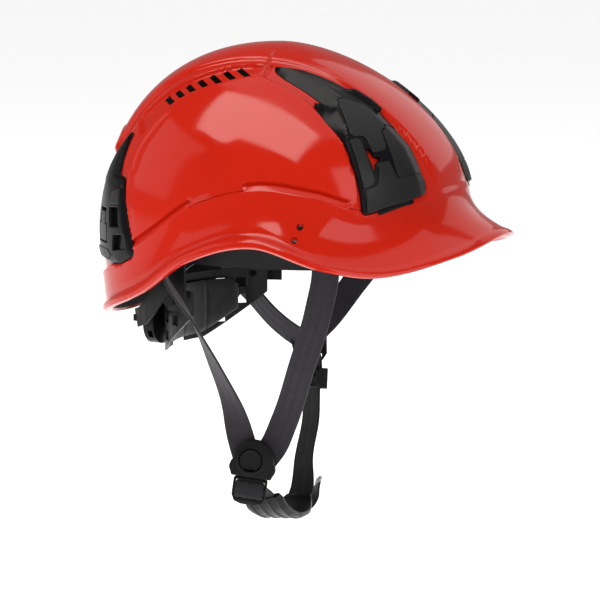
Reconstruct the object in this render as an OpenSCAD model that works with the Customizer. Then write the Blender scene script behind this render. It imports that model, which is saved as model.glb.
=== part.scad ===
// Climbing helmet with lamp clips, textile cradle, ratchet headband and two-sided
// chin harness. Millimetres. Z up, the peak points to -Y, the wearer's right is -X.
// The origin is the middle of the headband opening.

/* [Shell] */
// half width of the dome
dome_half_width = 104; // [98:1:110]
// dome centre to the front of the dome
dome_front = 125.5; // [118:0.5:132]
// dome centre to the back of the dome
dome_back = 123.5; // [116:0.5:130]
// height of the crown above the headband plane
crown_z = 127.6; // [120:0.1:135]
// wall thickness
wall = 2.8; // [2:0.1:4]
// diameter of the accessory holes in the brim
accessory_hole = 4; // [3:0.1:6]
// vent slots on each side
vent_count = 7; // [5:1:7]

/* [Lamp clips] */
// thickness of a lamp clip plate
clip_plate = 4.6; // [3:0.1:6]
// width of the latch stem
latch_stem = 9; // [6:0.5:12]

/* [Headband] */
// half breadth of the headband
band_half_breadth = 82; // [78:0.5:86]
// half length of the headband
band_half_length = 100; // [95:0.5:104]
// height of the headband
band_height = 30; // [24:1:36]
// thickness of the headband strip
band_wall = 1.8; // [1.2:0.1:3]
// knob diameter of the ratchet
knob_diameter = 34; // [28:1:40]
// pitch radius of the ratchet pinion
pinion_radius = 5; // [4:0.5:7]

/* [Harness] */
// webbing width
web_width = 19; // [15:0.5:22]
// webbing thickness
web_thickness = 1.5; // [1:0.1:2.2]
// buckle disc diameter
buckle_diameter = 28.4; // [26:0.5:36]

/* [Hidden] */
$fn = 48;
plan_n = 2.4;
front_m = 1.6;
back_m = 2.3;
front_z0 = 31;
back_z0 = -10;
taper = 0.25;
flare_g = 2.2;
// azimuth knots from the front, and rim height, brim flare and brim crease there
KA = [0, 20, 40, 55, 75, 100, 120, 140, 160, 180];
RIM = [6.5, -2.5, -12.5, -8, 4.5, -9, -33, -48, -59, -63];
FLARE = [38, 34, 27.5, 23, 16, 9, 6, 5, 4.5, 4.5];
CREASE = [36, 33, 27, 35, 39, 27, 2, -20, -32, -36];
red = [0.83, 0.1, 0.05];
black = [0.07, 0.07, 0.08];
grey = [0.2, 0.2, 0.22];
web = [0.13, 0.12, 0.15];

function clamp01(t) = min(1, max(0, t));
function seg(x, i = 0) = (i >= len(KA) - 2 || x < KA[i + 1]) ? i : seg(x, i + 1);
function slope(y, i) = (i == 0 || i == len(KA) - 1) ? 0
  : (y[i + 1] - y[i - 1]) / (KA[i + 1] - KA[i - 1]);
function lut(y, x) = let(i = seg(x), h = KA[i + 1] - KA[i], t = clamp01((x - KA[i]) / h))
  y[i] * (1 + 2 * t) * pow(1 - t, 2) + slope(y, i) * h * t * pow(1 - t, 2)
  + y[i + 1] * t * t * (3 - 2 * t) + slope(y, i + 1) * h * t * t * (t - 1);
function fold(a) = abs(((a + 180) % 360 + 360) % 360 - 180);
function plan_r(a) = let(c = cos(a), s = abs(sin(a)), l = c > 0 ? dome_front : dome_back)
  pow(pow(s / dome_half_width, plan_n) + pow(abs(c) / l, plan_n), -1 / plan_n);
function mix_of(a) = (1 - cos(a)) / 2;
function z0_of(a) = front_z0 + (back_z0 - front_z0) * mix_of(a);
function m_of(a) = front_m + (back_m - front_m) * mix_of(a);
// outer radius of the shell at azimuth a and height z
function rad(a, z) = let(z0 = z0_of(a), m = m_of(a), k = clamp01((z - z0) / (crown_z - z0)),
    zr = lut(RIM, fold(a)), zc = lut(CREASE, fold(a)),
    base = z > z0 ? plan_r(a) * pow(1 - pow(k, m), 1 / m)
                  : plan_r(a) * (1 - taper * pow((z0 - z) / 100, 2)))
  base + lut(FLARE, fold(a)) * pow(clamp01((zc - z) / (zc - zr)), flare_g);
// a point on the outside at azimuth a (positive to the wearer's right), lifted by h
function onp(a, z, h = 0) = let(p = [-rad(a, z) * sin(a), -rad(a, z) * cos(a), z])
  h == 0 ? p : p + h * normal(a, z);
function unit(v) = v / norm(v);
function normal(a, z) = let(e = 0.5, zz = min(z, crown_z - 1.2),
    da = onp(a + e, zz) - onp(a - e, zz), dz = onp(a, zz + e) - onp(a, zz - e),
    n = unit(cross(da, dz))) n * [-sin(a), -cos(a), 0.2] > 0 ? n : -n;

// meridian as rings of height: dome rings crowd towards the crown
dome_rings = 11;
wall_rings = 6;
function ring_z(a, i) = i < dome_rings
  ? z0_of(a) + (crown_z - z0_of(a)) * pow(cos(90 * (i + 0.7) / (dome_rings + 0.7)), 2 / m_of(a))
  : let(t = (i - dome_rings + 1) / wall_rings) z0_of(a) + (lut(RIM, fold(a)) - z0_of(a)) * t;
rings = dome_rings + wall_rings;
steps = 64;
module shell_body() {
  out = [for (i = [0 : rings - 1]) for (j = [0 : steps - 1])
    let(a = j * 360 / steps) onp(a, ring_z(a, i))];
  inn = [for (i = [0 : rings - 1]) for (j = [0 : steps - 1])
    let(a = j * 360 / steps, z = ring_z(a, i)) onp(a, z, -wall)
      + (i == rings - 1 ? [0, 0, wall * normal(a, z)[2]] : [0, 0, 0])];
  no = len(out);
  pts = concat(out, inn, [[0, 0, crown_z], [0, 0, crown_z - wall]]);
  function q(i, j, o) = o + i * steps + (j % steps);
  faces = concat(
    [for (i = [0 : rings - 2]) for (j = [0 : steps - 1]) for (k = [0, 1]) k == 0
      ? [q(i, j, 0), q(i, j + 1, 0), q(i + 1, j + 1, 0)]
      : [q(i, j, 0), q(i + 1, j + 1, 0), q(i + 1, j, 0)]],
    [for (i = [0 : rings - 2]) for (j = [0 : steps - 1]) for (k = [0, 1]) k == 0
      ? [q(i, j, no), q(i + 1, j + 1, no), q(i, j + 1, no)]
      : [q(i, j, no), q(i + 1, j, no), q(i + 1, j + 1, no)]],
    [for (j = [0 : steps - 1]) for (k = [0, 1]) k == 0
      ? [q(rings - 1, j, 0), q(rings - 1, j + 1, 0), q(rings - 1, j + 1, no)]
      : [q(rings - 1, j, 0), q(rings - 1, j + 1, no), q(rings - 1, j, no)]],
    [for (j = [0 : steps - 1]) [2 * no, q(0, j + 1, 0), q(0, j, 0)]],
    [for (j = [0 : steps - 1]) [2 * no + 1, q(0, j, no), q(0, j + 1, no)]]);
  polyhedron(pts, faces, convexity = 6);
}
// local frame on the shell: x towards the peak, y up the dome, z outward
module place(a, z, h = 0) {
  n = normal(a, z);
  x = unit(cross([0, 0, 1], n));
  y = cross(n, x);
  p = onp(a, z, h);
  multmatrix([[x[0], y[0], n[0], p[0]], [x[1], y[1], n[1], p[1]], [x[2], y[2], n[2], p[2]]])
    children();
}
module box(w, d, h) { translate([-w / 2, -d / 2, -h / 2]) cube([w, d, h]); }
module both() { children(); mirror([1, 0, 0]) children(); }
VA = [131.3, 127.9, 124, 119, 113.4, 106.3, 97];
VZ = [92.9, 97.4, 101.3, 104.8, 108, 110.7, 112.6];
module shell() color(red) difference() {
  shell_body();
  both() for (i = [0 : vent_count - 1]) place(VA[i], VZ[i]) rotate([0, 0, 69 - 3.4 * i]) box(4.1, 14.6, 14);
  both() for (p = [[60, 17], [62, 8.5]]) place(p[0], p[1]) translate([0, 0, -9])
    cylinder(d = accessory_hole, h = 18);
}

// a curved plate that follows the dome between two edge lines of [azimuth, height]
function finer(v, n) = [for (i = [0 : n * (len(v) - 1)]) let(j = min(floor(i / n), len(v) - 2), t = i / n - j)
  v[j] * (1 - t) + v[j + 1] * t];
module plate(top0, low0, h0, lift = 0.6, n = 4) {
  top = finer(top0, 3);
  low = finer(low0, 3);
  h = finer(h0, 3);
  rows = len(top);
  function e(i, k) = let(t = k / n) top[i] * (1 - t) + low[i] * t;
  pts = concat(
    [for (i = [0 : rows - 1]) for (k = [0 : n]) onp(e(i, k)[0], e(i, k)[1], lift)],
    [for (i = [0 : rows - 1]) for (k = [0 : n]) onp(e(i, k)[0], e(i, k)[1], lift + h[i])]);
  m = n + 1;
  t0 = rows * m;
  function g(i, k, o) = o + i * m + k;
  function two(a, b, c, d) = [[a, b, c], [a, c, d]];
  quads = concat(
    [for (i = [0 : rows - 2]) for (k = [0 : n - 1]) two(g(i, k, 0), g(i, k + 1, 0), g(i + 1, k + 1, 0), g(i + 1, k, 0))],
    [for (i = [0 : rows - 2]) for (k = [0 : n - 1]) two(g(i, k, t0), g(i + 1, k, t0), g(i + 1, k + 1, t0), g(i, k + 1, t0))],
    [for (i = [0 : rows - 2]) two(g(i, 0, 0), g(i + 1, 0, 0), g(i + 1, 0, t0), g(i, 0, t0))],
    [for (i = [0 : rows - 2]) two(g(i, n, 0), g(i, n, t0), g(i + 1, n, t0), g(i + 1, n, 0))],
    [for (k = [0 : n - 1]) two(g(0, k, 0), g(0, k, t0), g(0, k + 1, t0), g(0, k + 1, 0))],
    [for (k = [0 : n - 1]) two(g(rows - 1, k, 0), g(rows - 1, k + 1, 0), g(rows - 1, k + 1, t0), g(rows - 1, k, t0))]);
  polyhedron(pts, [for (q = quads) for (f = q) f], convexity = 4);
}
FT = [[70, 117.4], [52, 116], [36, 111], [28, 106], [22, 95], [18, 84], [16, 70], [15, 52], [16, 37]];
FL = [[71, 116.6], [54, 110], [46, 102], [39, 96.5], [49, 94.5], [44, 80], [42, 68], [40.5, 48], [39, 30]];
FH = [1, 2.2, 3.2, 3.8, 4.2, 4.6, 4.6, 4.6, 4.2];
RT = [[150, 69], [155, 55], [158, 38], [158, 20], [157, 5], [154, -10], [148, -20]];
RL = [[146, 67], [142, 52], [136, 39], [134, 22], [131, 8], [129, -4], [130, -14]];
RH = [1.2, 2.6, 3.6, 4.2, 4.6, 4.6, 4];
latch_a = 27;
latch_z = 46;
latch_tilt = 13;
rlatch_a = 144;
rlatch_z = 8;
module clip_front() color(black) difference() {
  plate(FT, FL, FH);
  place(latch_a, latch_z) rotate([0, 0, latch_tilt]) {
    translate([0, -6.6, 0]) box(47, 17, 30);
    translate([-9.6, 6, 0]) box(13, 22, 30);
  }
}
module clip_rear() color(black) difference() {
  plate(RT, RL, RH);
  place(rlatch_a, rlatch_z) box(17, 25, 30);
}
// T shaped latch, hinged along its lower edge
module latch(stem_x, stem_up, base_w, base_h, t) color(grey) linear_extrude(t)
  polygon([[-base_w / 2, -base_h], [base_w / 2, -base_h], [base_w / 2, 0],
    [stem_x + latch_stem / 2, 0], [stem_x + latch_stem / 2, stem_up], [stem_x - latch_stem / 2, stem_up],
    [stem_x - latch_stem / 2, 0], [-base_w / 2, 0]]);
module latch_front() place(latch_a, latch_z) rotate([0, 0, latch_tilt]) translate([0, -1.6, 1.2])
  latch(-9, 15, 44, 11.5, 2.2);
module latch_rear() place(rlatch_a, rlatch_z) translate([0, 0, 2.3]) latch(0, 8.5, 15.6, 11.5, 2.6);
module clip_front_r() clip_front();
module clip_front_l() mirror([1, 0, 0]) clip_front();
module latch_front_r() latch_front();
module latch_front_l() mirror([1, 0, 0]) latch_front();
module clip_rear_r() clip_rear();
module clip_rear_l() mirror([1, 0, 0]) clip_rear();
module latch_rear_r() latch_rear();
module latch_rear_l() mirror([1, 0, 0]) latch_rear();

// a ribbon with a rectangular section swept along points p, side vectors s
module ribbon(p, s, w, t) {
  n = len(p);
  function tan(i) = unit(p[min(i + 1, n - 1)] - p[max(i - 1, 0)]);
  function nv(i) = unit(cross(tan(i), s[i]));
  function sv(i) = unit(cross(nv(i), tan(i)));
  pts = [for (i = [0 : n - 1]) for (c = [[1, 1], [1, -1], [-1, -1], [-1, 1]])
    p[i] + c[0] * w / 2 * sv(i) + c[1] * t / 2 * nv(i)];
  polyhedron(pts, concat([[0, 2, 1], [0, 3, 2]],
    [for (i = [0 : n - 2]) for (k = [0 : 3]) for (f = [0, 1])
      let(a = 4 * i + k, b = 4 * i + (k + 1) % 4) f == 0 ? [a, b + 4, a + 4] : [a, b, b + 4]],
    [[4 * n - 4, 4 * n - 3, 4 * n - 2], [4 * n - 4, 4 * n - 2, 4 * n - 1]]), convexity = 6);
}
function arc_p(a, r, zt, zb, n) = [for (i = [0 : n]) let(u = -90 + 180 * i / n,
    k = sign(u) * pow(abs(sin(u)), 0.9))
  [-r * k * sin(a), -r * k * cos(a), zb + (zt - zb) * pow(cos(u), 0.85)]];
module crown_band(a, r, zt) color(grey)
  ribbon(arc_p(a, r, zt, 15.3, 20), [for (i = [0 : 20]) [cos(a), -sin(a), 0]], 20, 1.4);
module crown_band_a() crown_band(35, 95, 95);
module crown_band_b() crown_band(-35, 95, 97.5);
module crown_band_c() crown_band(90, 85, 100);
module cradle_hooks() color(black) for (q = [[35, 101.4], [-35, 101.4], [145, 101.4], [-145, 101.4], [90, 91], [-90, 91]])
  rotate([0, 0, -q[0]]) translate([-10, -q[1] - 0.5, 4]) cube([20, 4, 16]);

// headband ring helpers: rounded oval in plan
function oval(a, g) = [-(band_half_breadth + g) * sign(sin(a)) * pow(abs(sin(a)), 0.9),
  -(band_half_length + g) * sign(cos(a)) * pow(abs(cos(a)), 0.9)];
module strip(a0, a1, g, t, h, n = 36) linear_extrude(h) polygon(concat(
  [for (i = [0 : n]) oval(a0 + (a1 - a0) * i / n, g)],
  [for (i = [n : -1 : 0]) oval(a0 + (a1 - a0) * i / n, g - t)]));
pivot_y = 50;
pivot_z = -42;
module headband() color(black) difference() {
  union() {
    translate([0, 0, -band_height / 2]) strip(-118, 118, 0, band_wall, band_height, 72);
    for (s = [-1, 1]) translate([0, 0, -49]) strip(s * 110, s * 120, 0, band_wall, 36, 6);
  }
  translate([-100, pivot_y, pivot_z]) rotate([0, 90, 0]) cylinder(d = 4.12, h = 200);
}
module sweatband() color(grey) translate([0, 0, -14])
  strip(-62, 62, -2.3, 5, 28);
// rear arm: from inside the headband end down and back to the ratchet case
function arm_path(ze) = [for (i = [0 : 10]) let(t = i / 10, a = 92 + 55 * t,
    d = 5 - 9.5 * pow(max(0, (t - 0.45) / 0.55), 1.5), o = oval(a, -d), u = pow(t, 1.42))
  [o[0], o[1], -4 + (ze + 4) * u * u * (3 - 2 * u)]];
module rear_arm(ze) color(black)
  ribbon(arm_path(ze), [for (i = [0 : 10]) [0, 0.35 * sin(18 * i), 1]], 13, 1.6);
case_y = 84;
case_z = -68;
module rack(dz) difference() {
  translate([-51, case_y + 4.6, case_z + dz - 2.25]) cube([60, 3, 4.5]);
  for (i = [0 : 13]) translate([7 - 2.6 * i, case_y + 4, case_z + dz - sign(dz) * 2.3])
    rotate([0, 45, 0]) translate([-0.6, 0, -0.6]) cube([1.2, 5, 1.2]);
}
module rear_arm_r() { rear_arm(case_z + 7.6); color(black) rack(7.6); }
module rear_arm_l() { mirror([1, 0, 0]) rear_arm(case_z - 7.6); color(black) mirror([1, 0, 0]) rack(-7.6); }
module nape_cradle() color(black) difference() {
  translate([0, 0, -86]) strip(117, 243, -15, 2.2, 48, 28);
  translate([-100, pivot_y, pivot_z]) rotate([0, 90, 0]) cylinder(d = 4.12, h = 200);
  for (s = [-1, 1]) for (q = [[139, -60], [139, -48], [150, -73], [150, -60], [150, -48]])
    rotate([0, 0, s * q[0]]) translate([0, -80, q[1]]) box(8, 40, 7);
  translate([0, case_y, -85]) box(20, 16, 20);
  nape_trim();
}
// the lower edge of the nape cradle and its pad rises towards the front
module nape_trim() translate([-100, 0, 0]) rotate([90, 0, 90]) linear_extrude(200)
  polygon([[30, -45.5], [82, -89.7], [82, -130], [30, -130]]);
module nape_pad() color(grey) difference() {
  translate([0, 0, -82]) strip(134, 226, -17.6, 5, 38, 28);
  translate([0, 0, 2.5]) nape_trim();
}
module stadium(w, h) { box(w - h, h, 1); for (s = [-1, 1]) translate([s * (w - h) / 2, 0, -0.5]) cylinder(d = h, h = 1); }
// ratchet case: a stadium shaped box holding the two racks and the pinion
module ratchet_case() color(black) translate([0, case_y, case_z]) rotate([-90, 0, 0]) difference() {
  union() {
    translate([-15, -16, 3]) cube([30, 32, 8]);
    for (s = [-1, 1]) translate([s * 15, 0, 3]) cylinder(d = 32, h = 8);
  }
  for (z = [-7.6, 7.6]) translate([-40, z - 2.6, 4.3]) cube([80, 5.2, 3.7]);
  translate([0, 0, 4.3]) cylinder(r = pinion_radius + 0.4, h = 3.9);
  translate([0, 0, 2]) cylinder(d = 5.12, h = 12);
}
module ratchet_cover() color(grey) translate([0, case_y + 11.2, case_z]) rotate([-90, 0, 0]) difference() {
  union() {
    translate([-13, -14, 0]) cube([26, 28, 1.6]);
    for (s = [-1, 1]) translate([s * 13, 0, 0]) cylinder(d = 28, h = 1.6);
  }
  translate([0, 0, -1]) cylinder(d = 5.12, h = 5);
}
module ratchet_knob() color(black) translate([0, case_y, case_z]) rotate([-90, 0, 0]) difference() {
  union() {
    translate([0, 0, 4.5]) cylinder(r = pinion_radius - 0.3, h = 3.4);
    translate([0, 0, 2.4]) cylinder(d = 5, h = 11);
    translate([0, 0, 13]) cylinder(d = knob_diameter, h = 6);
  }
  for (i = [0 : 19]) rotate([0, 0, 18 * i]) translate([knob_diameter / 2 + 0.6, 0, 12]) cylinder(d = 3, h = 12);
}
module pivot_pins() color(black) both() translate([52, pivot_y, pivot_z])
  rotate([0, 90, 0]) { cylinder(d = 4, h = 26); translate([0, 0, 24.6]) cylinder(d = 7.4, h = 1.6); }

module strap(p, s) color(web) ribbon(p, s, web_width, web_thickness);
module strap_hooks() color(black) for (q = [[-83.5, -66, 5, 53], [84, -53, 5, -55], [-90, 50.6, 3, 112], [65, 82, -21, -140]])
  translate([q[0], q[1], q[2]]) rotate([0, 0, 90 - 90 - q[3]]) difference() {
    translate([-12, -2, -2]) cube([24, 4, 15]);
    translate([-10, -3, 1]) cube([20, 6, 2.4]);
  }
module strap_front_r() strap([[-82, -66, 0.5], [-80.5, -67, -10], [-76.5, -60, -42], [-68, -44, -82], [-57, -26, -123], in_b([11, 9.5, -1.6])],
  [[0.1, -1, -0.1], [0.1, -1, -0.2], [0.05, -1, -0.34], [0, -1, -0.4], [0.1, -1, -0.4], [0.25, -0.9, -0.35]]);
module strap_rear_r() strap([[-90.4, 50.9, -1.5], [-91.4, 45, -23], [-83.8, 28.8, -52.8], [-75.4, 17, -83], [-66.5, 7.4, -114], in_b([-11, 13, -1.6])],
  [[0.5, 0.86, 0.1], [0.86, 0.5, 0.2], [0.75, 0.64, 0.3], [0.42, 0.85, 0.42], [0.1, 0.95, 0.34], [-0.25, 0.95, 0.1]]);
module strap_front_l() strap([[83, -51.5, -3], [81, -46, -12], [74.5, -20, -48], [66.9, -1.6, -74.3], [65.4, 4.2, -80.6]],
  [for (i = [0 : 4]) [0, 1, 0.45]]);
module strap_rear_l() strap([[65.5, 79, -28], [68.3, 74, -43], [67.8, 55.6, -61.2], [63, 36.5, -76.2], [62.2, 24.4, -84]],
  [for (i = [0 : 4]) [0, 0.5, -1]]);

// a frame standing on a point: z is the outward face, x lies level, y points up
module stand(p, n) {
  z = unit(n);
  x = unit(cross([0, 0, 1], z));
  y = cross(z, x);
  multmatrix([[x[0], y[0], z[0], p[0]], [x[1], y[1], z[1], p[1]], [x[2], y[2], z[2], p[2]]]) children();
}
buckle_p = [-62, -6, -149.5];
buckle_n = [-0.94, -0.33, 0.06];
module in_buckle() stand(buckle_p, buckle_n) rotate([0, 0, -8]) children();
// a point of the buckle's own frame
function in_b(q) = let(z = unit(buckle_n), x = unit(cross([0, 0, 1], z)), y = cross(z, x))
  buckle_p + (q[0] * cos(8) + q[1] * sin(8)) * x + (q[1] * cos(8) - q[0] * sin(8)) * y + q[2] * z;
module buckle_body() color(black) in_buckle() difference() {
  union() {
    cylinder(d = buckle_diameter, h = 7);
    translate([-13.8, -11.4, 0]) cube([27.6, 11.4, 7]);
    for (s = [-1, 1]) translate([s * 12.6, -4.6, 1]) cylinder(d = 6.4, h = 5);
    translate([0, -5, -4]) cylinder(d = 9, h = 5);
    translate([0, 0, -4.4]) cylinder(d = 25, h = 1.4);
  }
  translate([-1.6, 0.4, 3.6]) cylinder(d = 15.6, h = 5);
  translate([-9.2, -17, 1]) cube([18.4, 20, 2.4]);
}
// the button's underside has a ring groove that takes the spring when it is pressed
module buckle_button() color(grey) in_buckle() difference() {
  intersection() {
    translate([-1.6, 0.4, 5.2]) cylinder(d = 15, h = 3);
    translate([-12, -5.8, 5]) cube([24, 20, 4]);
  }
  translate([-1.6, 0.4, 4]) difference() {
    cylinder(d = 9.8, h = 2.7);
    translate([0, 0, -1]) cylinder(d = 6.2, h = 5);
  }
}
module button_spring() color(grey) in_buckle() translate([-1.6, 0.4, 3.75]) difference() {
  cylinder(d = 9, h = 1.3);
  translate([0, 0, -1]) cylinder(d = 7, h = 4);
}
// plug: a tongue for the buckle above, a ladder lock below
module buckle_plug() color(black) in_buckle() difference() {
  union() {
    translate([-8.8, -24, 1.2]) cube([17.6, 25, 2]);
    difference() {
      translate([-11.6, -31, 0.4]) cube([23.2, 18.8, 3.6]);
      translate([0, 0, -1]) cylinder(d = buckle_diameter + 0.8, h = 9);
    }
  }
  translate([-10, -17.6, -1]) cube([20, 3.4, 8]);
  translate([-10, -27, -1]) cube([20, 5, 8]);
}
chin = [[65.45, 7.75, -107.2], [61.1, 6.7, -126.9], [54.6, 4.5, -145], [41.2, 3.8, -170], [27, -1, -190], [10, -4, -197.5],
  [-8, -6.5, -199], [-26, -7, -195.5], [-41, -6.4, -187], [-51, -5.4, -176.5]];
module chin_strap() color(web)
  ribbon(chin, [for (i = [0 : 9]) side(i)], web_width - 1, web_thickness);
chin_lean = [-0.5, -0.5, -0.5, -0.45, -0.1, 0.12, 0.3, 0.35, 0.4, 0.45];
function side(i) = [chin_lean[i], -1, 0];
function chin_more(i, d) = let(t = unit(chin[i + 1] - chin[i])) chin[i] + d * t;
module chin_sleeve(i0, i1, w, t, more) ribbon(concat([chin_more(i0, -more)], [for (i = [i0 + 1 : i1 - 1]) chin[i]],
  [chin_more(i1 - 1, norm(chin[i1] - chin[i1 - 1]) + more)]), [for (i = [i0 : i1]) side(i)], w, t);
module chin_pad() color(black) difference() {
  chin_sleeve(4, 9, 27, 6, -4);
  chin_sleeve(4, 9, 20, 3.2, 3);
}
module strap_tail() color(web) ribbon([[20, -2, -203], [27, -3.6, -201.4], [34.5, -5.6, -197], [40.5, -7, -189.5]],
  [[-0.2, -1, 0], [-0.4, -0.9, 0], [-0.7, -0.7, 0], [-0.9, -0.45, 0]], web_width - 2, web_thickness);
module end_tab() color([0.7, 0.7, 0.72]) ribbon([[41, -7.1, -188.6], [42.9, -7.5, -185.2]],
  [for (i = [0 : 1]) [-0.9, -0.45, 0]], web_width - 2, web_thickness + 0.6);
module divider() color(black) stand([66.9, 11.6, -94], [0.97, 0.2, 0.1]) difference() {
  linear_extrude(3) polygon([[-13, 12], [-6, 15], [10, 13], [14, 6], [11, -8], [8, -12], [-9, -12], [-13, -6]]);
  translate([-9.5, -8.6, -1]) cube([18.6, 3, 6]);
  translate([-10, 3, -1]) rotate([0, 0, 8]) cube([19, 3, 6]);
}
slider_at = chin[0] + 0.505 * (chin[1] - chin[0]);
slider_t = unit(chin[0] - chin[1]);
// ladder slider: two open slots in the face plate, two rails and a back bar round the webbing
module along_strap(p, y, s) {
  z = unit(cross(s, y));
  x = cross(y, z);
  multmatrix([[x[0], y[0], z[0], p[0]], [x[1], y[1], z[1], p[1]], [x[2], y[2], z[2], p[2]]]) children();
}
module ladder_slider() color(black) along_strap(slider_at, slider_t, side(0)) difference() {
  translate([-12, -7.5, -4.4]) cube([24, 15, 8.8]);
  translate([-10.1, -8, -3]) cube([20.2, 16, 5.6]);
  for (y = [-5.4, 1.8]) translate([-9.2, y, 1]) cube([18.4, 3.6, 5]);
  for (y = [-8, 2.5]) translate([-10.1, y, -5]) cube([20.2, 5.5, 4]);
}
shell();
clip_front_r();
clip_front_l();
latch_front_r();
latch_front_l();
clip_rear_r();
clip_rear_l();
latch_rear_r();
latch_rear_l();
crown_band_a();
crown_band_b();
crown_band_c();
cradle_hooks();
headband();
sweatband();
rear_arm_r();
rear_arm_l();
nape_cradle();
nape_pad();
ratchet_case();
ratchet_cover();
ratchet_knob();
pivot_pins();
strap_hooks();
strap_front_r();
strap_front_l();
strap_rear_r();
strap_rear_l();
buckle_body();
buckle_button();
button_spring();
buckle_plug();
divider();
ladder_slider();
chin_strap();
chin_pad();
strap_tail();
end_tab();
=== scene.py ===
import math

import bpy
import bmesh
import numpy as np
from mathutils import Vector, Matrix
from mathutils.geometry import delaunay_2d_cdt


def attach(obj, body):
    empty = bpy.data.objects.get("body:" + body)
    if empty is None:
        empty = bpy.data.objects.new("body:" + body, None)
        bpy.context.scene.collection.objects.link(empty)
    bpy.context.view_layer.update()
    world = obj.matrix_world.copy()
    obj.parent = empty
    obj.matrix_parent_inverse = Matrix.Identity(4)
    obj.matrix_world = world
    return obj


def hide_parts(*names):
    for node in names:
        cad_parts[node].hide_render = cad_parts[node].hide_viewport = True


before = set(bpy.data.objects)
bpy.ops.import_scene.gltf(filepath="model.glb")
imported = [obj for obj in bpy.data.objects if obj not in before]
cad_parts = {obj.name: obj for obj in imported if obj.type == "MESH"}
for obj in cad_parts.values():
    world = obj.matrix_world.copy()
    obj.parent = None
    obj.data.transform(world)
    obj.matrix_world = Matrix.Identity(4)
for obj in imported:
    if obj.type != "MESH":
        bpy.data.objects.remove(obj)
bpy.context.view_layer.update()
MM = 0.001

# ---------------------------------------------------------------- shell shape, in millimetres
# azimuth 0 is the front (-Y), positive to the wearer's right (-X)
KA = np.array([0, 20, 40, 55, 75, 100, 120, 140, 160, 180.0])
RIM = np.array([6.5, -2.5, -12.5, -8, 4.5, -9, -33, -48, -59, -63.0])
FLARE = np.array([38, 34, 27.5, 23, 16, 9, 6, 5, 4.5, 4.5])
CREASE = np.array([36, 33, 27, 35, 39, 27, 2, -20, -32, -36.0])
HALF_W, FRONT, BACK, CROWN, WALL = 104.0, 125.5, 123.5, 127.6, 2.8


def lut(ys, x, xs=KA):
    """Smooth curve through the knots, flat at both ends."""
    x = np.clip(np.asarray(x, float), xs[0], xs[-1])
    sl = np.zeros(len(xs))
    sl[1:-1] = (ys[2:] - ys[:-2]) / (xs[2:] - xs[:-2])
    i = np.clip(np.searchsorted(xs, x, side="right") - 1, 0, len(xs) - 2)
    h = xs[i + 1] - xs[i]
    t = (x - xs[i]) / h
    return (ys[i] * (1 + 2 * t) * (1 - t) ** 2 + sl[i] * h * t * (1 - t) ** 2
            + ys[i + 1] * t * t * (3 - 2 * t) + sl[i + 1] * h * t * t * (t - 1))


def line(xs, ys, x):
    return np.interp(x, xs, ys)


def fold(a):
    return np.abs((a + 180) % 360 - 180)


def smooth(x, lo=0.0, hi=1.0):
    t = np.clip((x - lo) / (hi - lo), 0, 1)
    return t * t * (3 - 2 * t)


def plan_r(a):
    c, s = np.cos(np.radians(a)), np.abs(np.sin(np.radians(a)))
    length = np.where(c > 0, FRONT, BACK)
    return ((s / HALF_W) ** 2.4 + (np.abs(c) / length) ** 2.4) ** (-1 / 2.4)


def z0_m(a):
    k = (1 - np.cos(np.radians(a))) / 2
    return 31 - 41 * k, 1.6 + 0.7 * k


def rad(a, z):
    z0, m = z0_m(a)
    k = np.clip((z - z0) / (CROWN - z0), 0, 1)
    zr, zc = lut(RIM, fold(a)), lut(CREASE, fold(a))
    base = np.where(z > z0, plan_r(a) * np.maximum(1 - k ** m, 0) ** (1 / m),
                    plan_r(a) * (1 - 0.25 * ((z0 - z) / 100) ** 2))
    return base + lut(FLARE, fold(a)) * np.clip((zc - z) / (zc - zr), 0, 1) ** 2.2


def onp(a, z):
    r = rad(a, z)
    return np.stack([-r * np.sin(np.radians(a)), -r * np.cos(np.radians(a)), z + 0 * r], -1)


def unit(v):
    return v / np.maximum(np.linalg.norm(v, axis=-1, keepdims=True), 1e-12)


def normal(a, z):
    z = np.minimum(z, CROWN - 1.2)
    n = unit(np.cross(onp(a + 0.5, z) - onp(a - 0.5, z), onp(a, z + 0.5) - onp(a, z - 0.5)))
    out = -n[..., 0] * np.sin(np.radians(a)) - n[..., 1] * np.cos(np.radians(a)) + 0.2 * n[..., 2]
    return np.where(out[..., None] > 0, n, -n)


def local(a, z):
    """Local frame on the dome: point, level axis towards the front, axis up, outward normal."""
    p, n = onp(np.float64(a), np.float64(z)), normal(np.float64(a), np.float64(z))
    x = unit(np.cross([0, 0, 1.0], n))
    return p, x, np.cross(n, x), n


def stand(p, n, spin=0.0):
    p, n = np.array(p, float), unit(np.array(n, float))
    x = unit(np.cross([0, 0, 1.0], n))
    y = np.cross(n, x)
    c, s = math.cos(math.radians(spin)), math.sin(math.radians(spin))
    return p, c * x + s * y, c * y - s * x, n


def azimuth(p):
    return np.degrees(np.arctan2(-p[..., 0], -p[..., 1]))


def drape(fr, uv, h):
    """Points of a flat layout laid on the dome along the frame's normal, lifted by h."""
    o, x, y, n = fr
    uv = np.asarray(uv, float)
    base = o + uv[..., :1] * x + uv[..., 1:2] * y
    lo, hi = np.full(uv.shape[:-1], -70.0), np.full(uv.shape[:-1], 30.0)
    for _ in range(36):
        mid = (lo + hi) / 2
        q = base + mid[..., None] * n
        inside = (q[..., 2] < CROWN) & (np.hypot(q[..., 0], q[..., 1]) < rad(azimuth(q), q[..., 2]))
        lo, hi = np.where(inside, mid, lo), np.where(inside, hi, mid)
    q = base + lo[..., None] * n
    return q + np.asarray(h)[..., None] * normal(azimuth(q), q[..., 2])


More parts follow.
